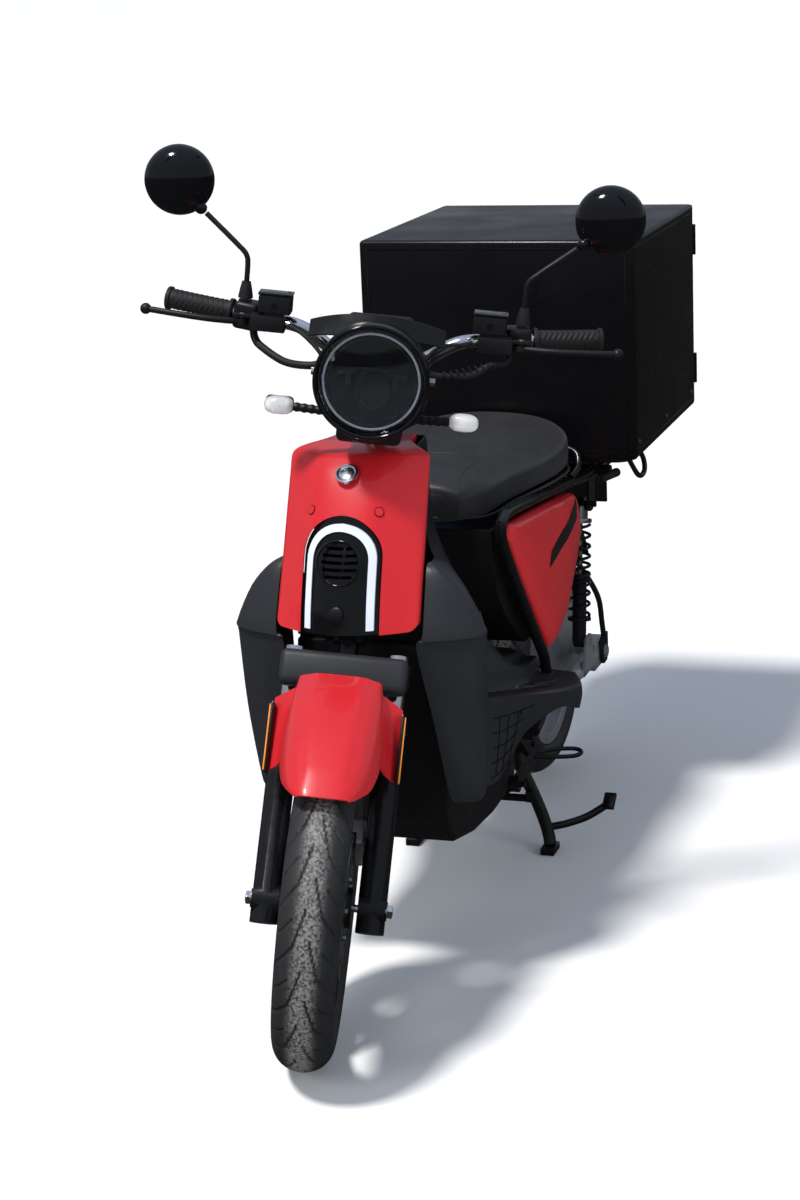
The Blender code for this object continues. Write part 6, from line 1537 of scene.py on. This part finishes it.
# tail: lens, reflector, indicators and a blank plate
show(block((0.110, 0.010, 0.028), (0, 0.9600, 0.6460), bevel=0.003), "tail_lens", REDLENS, "frame", "body", 30)
show(block((0.150, 0.0022, 0.100), (0, 0.9405, 0.5680), bevel=0.001), "number_plate", PLATE, "frame", "body", 30)
for sx in (1, -1):
    show(block((0.036, 0.010, 0.024), (sx * 0.1450, 0.9440, 0.6360), bevel=0.004), "rear_indicator_%s" % ("l" if sx > 0 else "r"), AMBER, "frame", "body", 30)
show(rod((0, 0.9390, 0.5000), (0, 0.9420, 0.5000), 0.0160), "rear_reflector", REDLENS, "frame", "body", 30)

# box: seam strips and rivets
for sx in (1, -1):
    x = sx * (BOX_W / 2)
    show(block((0.0018, 0.520, 0.0022), (x, 0.731, BOX_Z0 + BOX_H - 0.016)), "box_seam_top_%s" % ("l" if sx > 0 else "r"), GLOSSBLK, "frame")
    show(block((0.0018, 0.520, 0.0022), (x, 0.731, BOX_Z0 + 0.016)), "box_seam_low_%s" % ("l" if sx > 0 else "r"), GLOSSBLK, "frame")
    show(block((0.0018, 0.0022, 0.372), (x, BOX_Y0 + 0.0155, BOX_Z0 + BOX_H / 2)), "box_seam_side_%s" % ("l" if sx > 0 else "r"), GLOSSBLK, "frame")
    show(block((0.0022, 0.0018, 0.372), (sx * (BOX_W / 2 - 0.0155), BOX_Y0, BOX_Z0 + BOX_H / 2)), "box_seam_front_%s" % ("l" if sx > 0 else "r"), GLOSSBLK, "frame")
for z, t in ((BOX_Z0 + 0.016, "low"), (BOX_Z0 + BOX_H - 0.016, "top")):
    show(block((0.488, 0.0018, 0.0022), (0, BOX_Y0, z)), "box_seam_front_" + t, GLOSSBLK, "frame")
for sx in (1, -1):
    for y in (BOX_Y0 + 0.030, 0.73, 0.975):
        c = Vector((sx * BOX_W / 2, y, BOX_Z0 + 0.030))
        show(rod(c, c + Vector((sx * 0.0016, 0, 0)), 0.0045), "box_rivet_%s_%d" % ("l" if sx > 0 else "r", int(y * 100)), STEEL, "frame", "body", 30)

# floorboard: raised tread bars and a rivet
def floor_z(y):
    return lerp([(-0.236, 0.455), (-0.170, 0.437), (-0.100, 0.419), (-0.030, 0.401), (0.040, 0.383), (0.100, 0.372), (0.150, 0.368), (0.205, 0.368)], y)


for sx in (1, -1):
    tagx = "l" if sx > 0 else "r"
    for k, (y0_, y1_, x0_, x1_) in enumerate([(-0.215, -0.165, 0.146, 0.156), (-0.180, -0.120, 0.152, 0.160), (-0.120, -0.050, 0.152, 0.166), (-0.060, 0.010, 0.154, 0.172), (0.000, 0.070, 0.156, 0.180),
                                        (0.060, 0.120, 0.158, 0.188)]):
        pts_ = [Vector((sx * (x0_ + (x1_ - x0_) * t), y0_ + (y1_ - y0_) * t, floor_z(y0_ + (y1_ - y0_) * t) + 0.0045)) for t in (0, 0.25, 0.5, 0.75, 1)]
        show(pipe(pts_, 0.0020), "tread_bar_%s_%d" % (tagx, k), GREY, "frame", "body", 60)
    c = Vector((sx * 0.146, -0.014, floor_z(-0.014) + 0.0035))
    show(ball(c, 0.0050, scale=(1, 1, 0.5)), "floor_rivet_" + tagx, CHROME, "frame", "body", 60)

# thin moulded lines on the skirt, and a screw each side
def skirt(y, v, sx, out=0.0006):
    xr = lerp([(-0.268, 0.163), (-0.236, 0.1690), (-0.170, 0.1780), (-0.100, 0.1875), (-0.030, 0.1970), (0.040, 0.2065), (0.100, 0.2145), (0.150, 0.2230), (0.205, 0.2020)], y)
    zr = lerp([(-0.236, 0.4515), (-0.170, 0.4350), (-0.100, 0.4170), (-0.030, 0.3990), (0.040, 0.3815), (0.100, 0.3680), (0.150, 0.3620), (0.205, 0.3640)], y) - 0.006
    xb = lerp([(-0.236, 0.160), (-0.100, 0.161), (-0.030, 0.167), (0.040, 0.184), (0.100, 0.200), (0.150, 0.218)], y)
    zb = lerp([(-0.236, 0.300), (-0.170, 0.292), (-0.100, 0.306), (-0.030, 0.325), (0.040, 0.333), (0.100, 0.333), (0.150, 0.316)], y)
    x = xr + (xb - xr) * v + 0.003 * 4 * v * (1 - v) * 0.9
    return Vector((sx * (x + out), y, zr + (zb - zr) * v))


fb = bpy.data.objects["v_floorboard"]
lines = []
for yv in (-0.205, -0.165, -0.120):
    lines.append([(yv, v) for v in (0.20, 0.35, 0.5, 0.65, 0.8, 0.93)])
for v in (0.20, 0.38, 0.56, 0.74, 0.92):
    y_end = {0.20: -0.050, 0.38: -0.080, 0.56: -0.105, 0.74: -0.120, 0.92: -0.120}[v]
    lines.append([(-0.232 + (y_end + 0.232) * t / 8, v) for t in range(9)])
for sx in (1, -1):
    for k, ln in enumerate(lines):
        yz = [(skirt(y, v, sx).y, skirt(y, v, sx).z) for y, v in ln]
        on = drape(fb, yz, 0.0002, sx)
        if on:
            # each line is a thin near-black tube: painted shade standing for a moulded groove
            show(curve(on, 0.0009, 4), "skirt_line_%s_%d" % ("l" if sx > 0 else "r", k), GROOVE_SHADE, "frame", "body", 60)
    yz = [(skirt(-0.106, 0.22, sx).y, skirt(-0.106, 0.22, sx).z)]
    on = drape(fb, yz, 0.0, sx)
    if on:
        show(rod(on[0] - Vector((sx * 0.002, 0, 0)), on[0] + Vector((sx * 0.0008, 0, 0)), 0.0062), "skirt_screw_%s" % ("l" if sx > 0 else "r"), BLACK, "frame", "body", 30)

show(block((0.236, 0.0024, 0.120), (0, -0.3385, 0.618)), "neck_cover", PLASTIC, "frame", "body", 30)

# raised seam round the nose of the seat, and one across the back of the nose
seat_ob = bpy.data.objects["v_seat"]
seat_tree = BVHTree.FromPolygons([v.co for v in seat_ob.data.vertices], [tuple(p.vertices) for p in seat_ob.data.polygons])
lo_ = [min(v.co[k] for v in seat_ob.data.vertices) for k in range(3)]
hi_ = [max(v.co[k] for v in seat_ob.data.vertices) for k in range(3)]
nose = lo_[1] + OY


def on_seat(x, y, z):
    hit = seat_tree.find_nearest(Vector((x - OX, y - OY, z)))[0]
    return Vector((hit.x + OX, hit.y + OY, hit.z))


top_z = hi_[2]
u_path = []
for k in range(9):
    t = k / 8
    u_path.append((0.082, nose - 0.004 + 0.030 * t ** 2, lo_[2] + 0.020 + (top_z - lo_[2] - 0.02) * t))
for k in range(1, 7):
    u_path.append((0.082, nose + 0.026 + 0.084 * k / 6, top_z + 0.01))
for k in range(1, 12):
    a = math.pi * k / 12
    u_path.append((0.082 * math.cos(a), nose + 0.110 + 0.070 * math.sin(a), top_z + 0.01))
u_path += [(-x, y, z) for x, y, z in reversed(u_path[:15])]
show(pipe([on_seat(*p) for p in u_path], 0.0013, 3), "seat_nose_seam", VINYL, "seat", "body", 60)

# ================================================================ stage
for o in list(TEMP.objects):
    bpy.data.objects.remove(o, do_unlink=True)
bpy.data.collections.remove(TEMP)

bm = bmesh.new()
bmesh.ops.create_grid(bm, x_segments=2, y_segments=2, size=2500.0)
me = bpy.data.meshes.new("floor")
bm.to_mesh(me)
bm.free()
floor_ob = bpy.data.objects.new("floor", me)
floor_ob.location = (0, 0, -0.0006)
scene.collection.objects.link(floor_ob)
FLOOR = mat("pale_floor", (0.80, 0.80, 0.79), 0.62, var=0.02, bump=0.02, scale=1.0, grain=60, rvar=0.04)
floor_ob.data.materials.append(FLOOR)

floor_ob.visible_glossy = False
world = bpy.data.worlds.new("world")
scene.world = world
world.use_nodes = True
wt = world.node_tree
back = wt.nodes["Background"]
coord = wt.nodes.new("ShaderNodeTexCoord")
part_z = wt.nodes.new("ShaderNodeSeparateXYZ")
sky = wt.nodes.new("ShaderNodeValToRGB")
wt.links.new(coord.outputs["Generated"], part_z.inputs["Vector"])
wt.links.new(part_z.outputs["Z"], sky.inputs["Fac"])
wt.links.new(sky.outputs["Color"], back.inputs["Color"])
sky.color_ramp.elements[0].position = 0.0
sky.color_ramp.elements[0].color = (0.055, 0.055, 0.055, 1)
sky.color_ramp.elements[1].position = 1.0
sky.color_ramp.elements[1].color = (0.62, 0.72, 0.95, 1)
e = sky.color_ramp.elements.new(0.02)
e.color = (0.46, 0.48, 0.50, 1)
e = sky.color_ramp.elements.new(0.30)
e.color = (0.42, 0.47, 0.55, 1)
back.inputs["Strength"].default_value = 0.62


def area(name, loc, at, size, power, color=(1, 1, 1), size_y=None):
    li = bpy.data.lights.new(name, "AREA")
    li.energy = power
    li.size = size
    if size_y:
        li.shape = "RECTANGLE"
        li.size_y = size_y
    li.color = color
    ob = bpy.data.objects.new(name, li)
    ob.location = loc
    ob.rotation_mode = "QUATERNION"
    ob.rotation_quaternion = (Vector(at) - Vector(loc)).to_track_quat("-Z", "Y")
    ob.visible_glossy = False
    scene.collection.objects.link(ob)


def sun(name, to, strength, angle, color=(1, 1, 1)):
    li = bpy.data.lights.new(name, "SUN")
    li.energy = strength
    li.angle = math.radians(angle)
    li.color = color
    ob = bpy.data.objects.new(name, li)
    ob.rotation_mode = "QUATERNION"
    ob.rotation_quaternion = Vector(to).to_track_quat("-Z", "Y")
    scene.collection.objects.link(ob)


sun("sun", (0.42, 0.80, -1.75), 3.7, 9.0, (1.0, 0.985, 0.96))
area("fill", (3.4, -1.6, 1.6), (0, 0, 0.6), 1.6, 40, (0.95, 0.98, 1.0))
area("front", (-1.4, -3.6, 1.8), (0, -0.4, 0.7), 1.2, 34)
scene.view_settings.view_transform = "Standard"
scene.view_settings.look = "None"

bpy.context.view_layer.update()
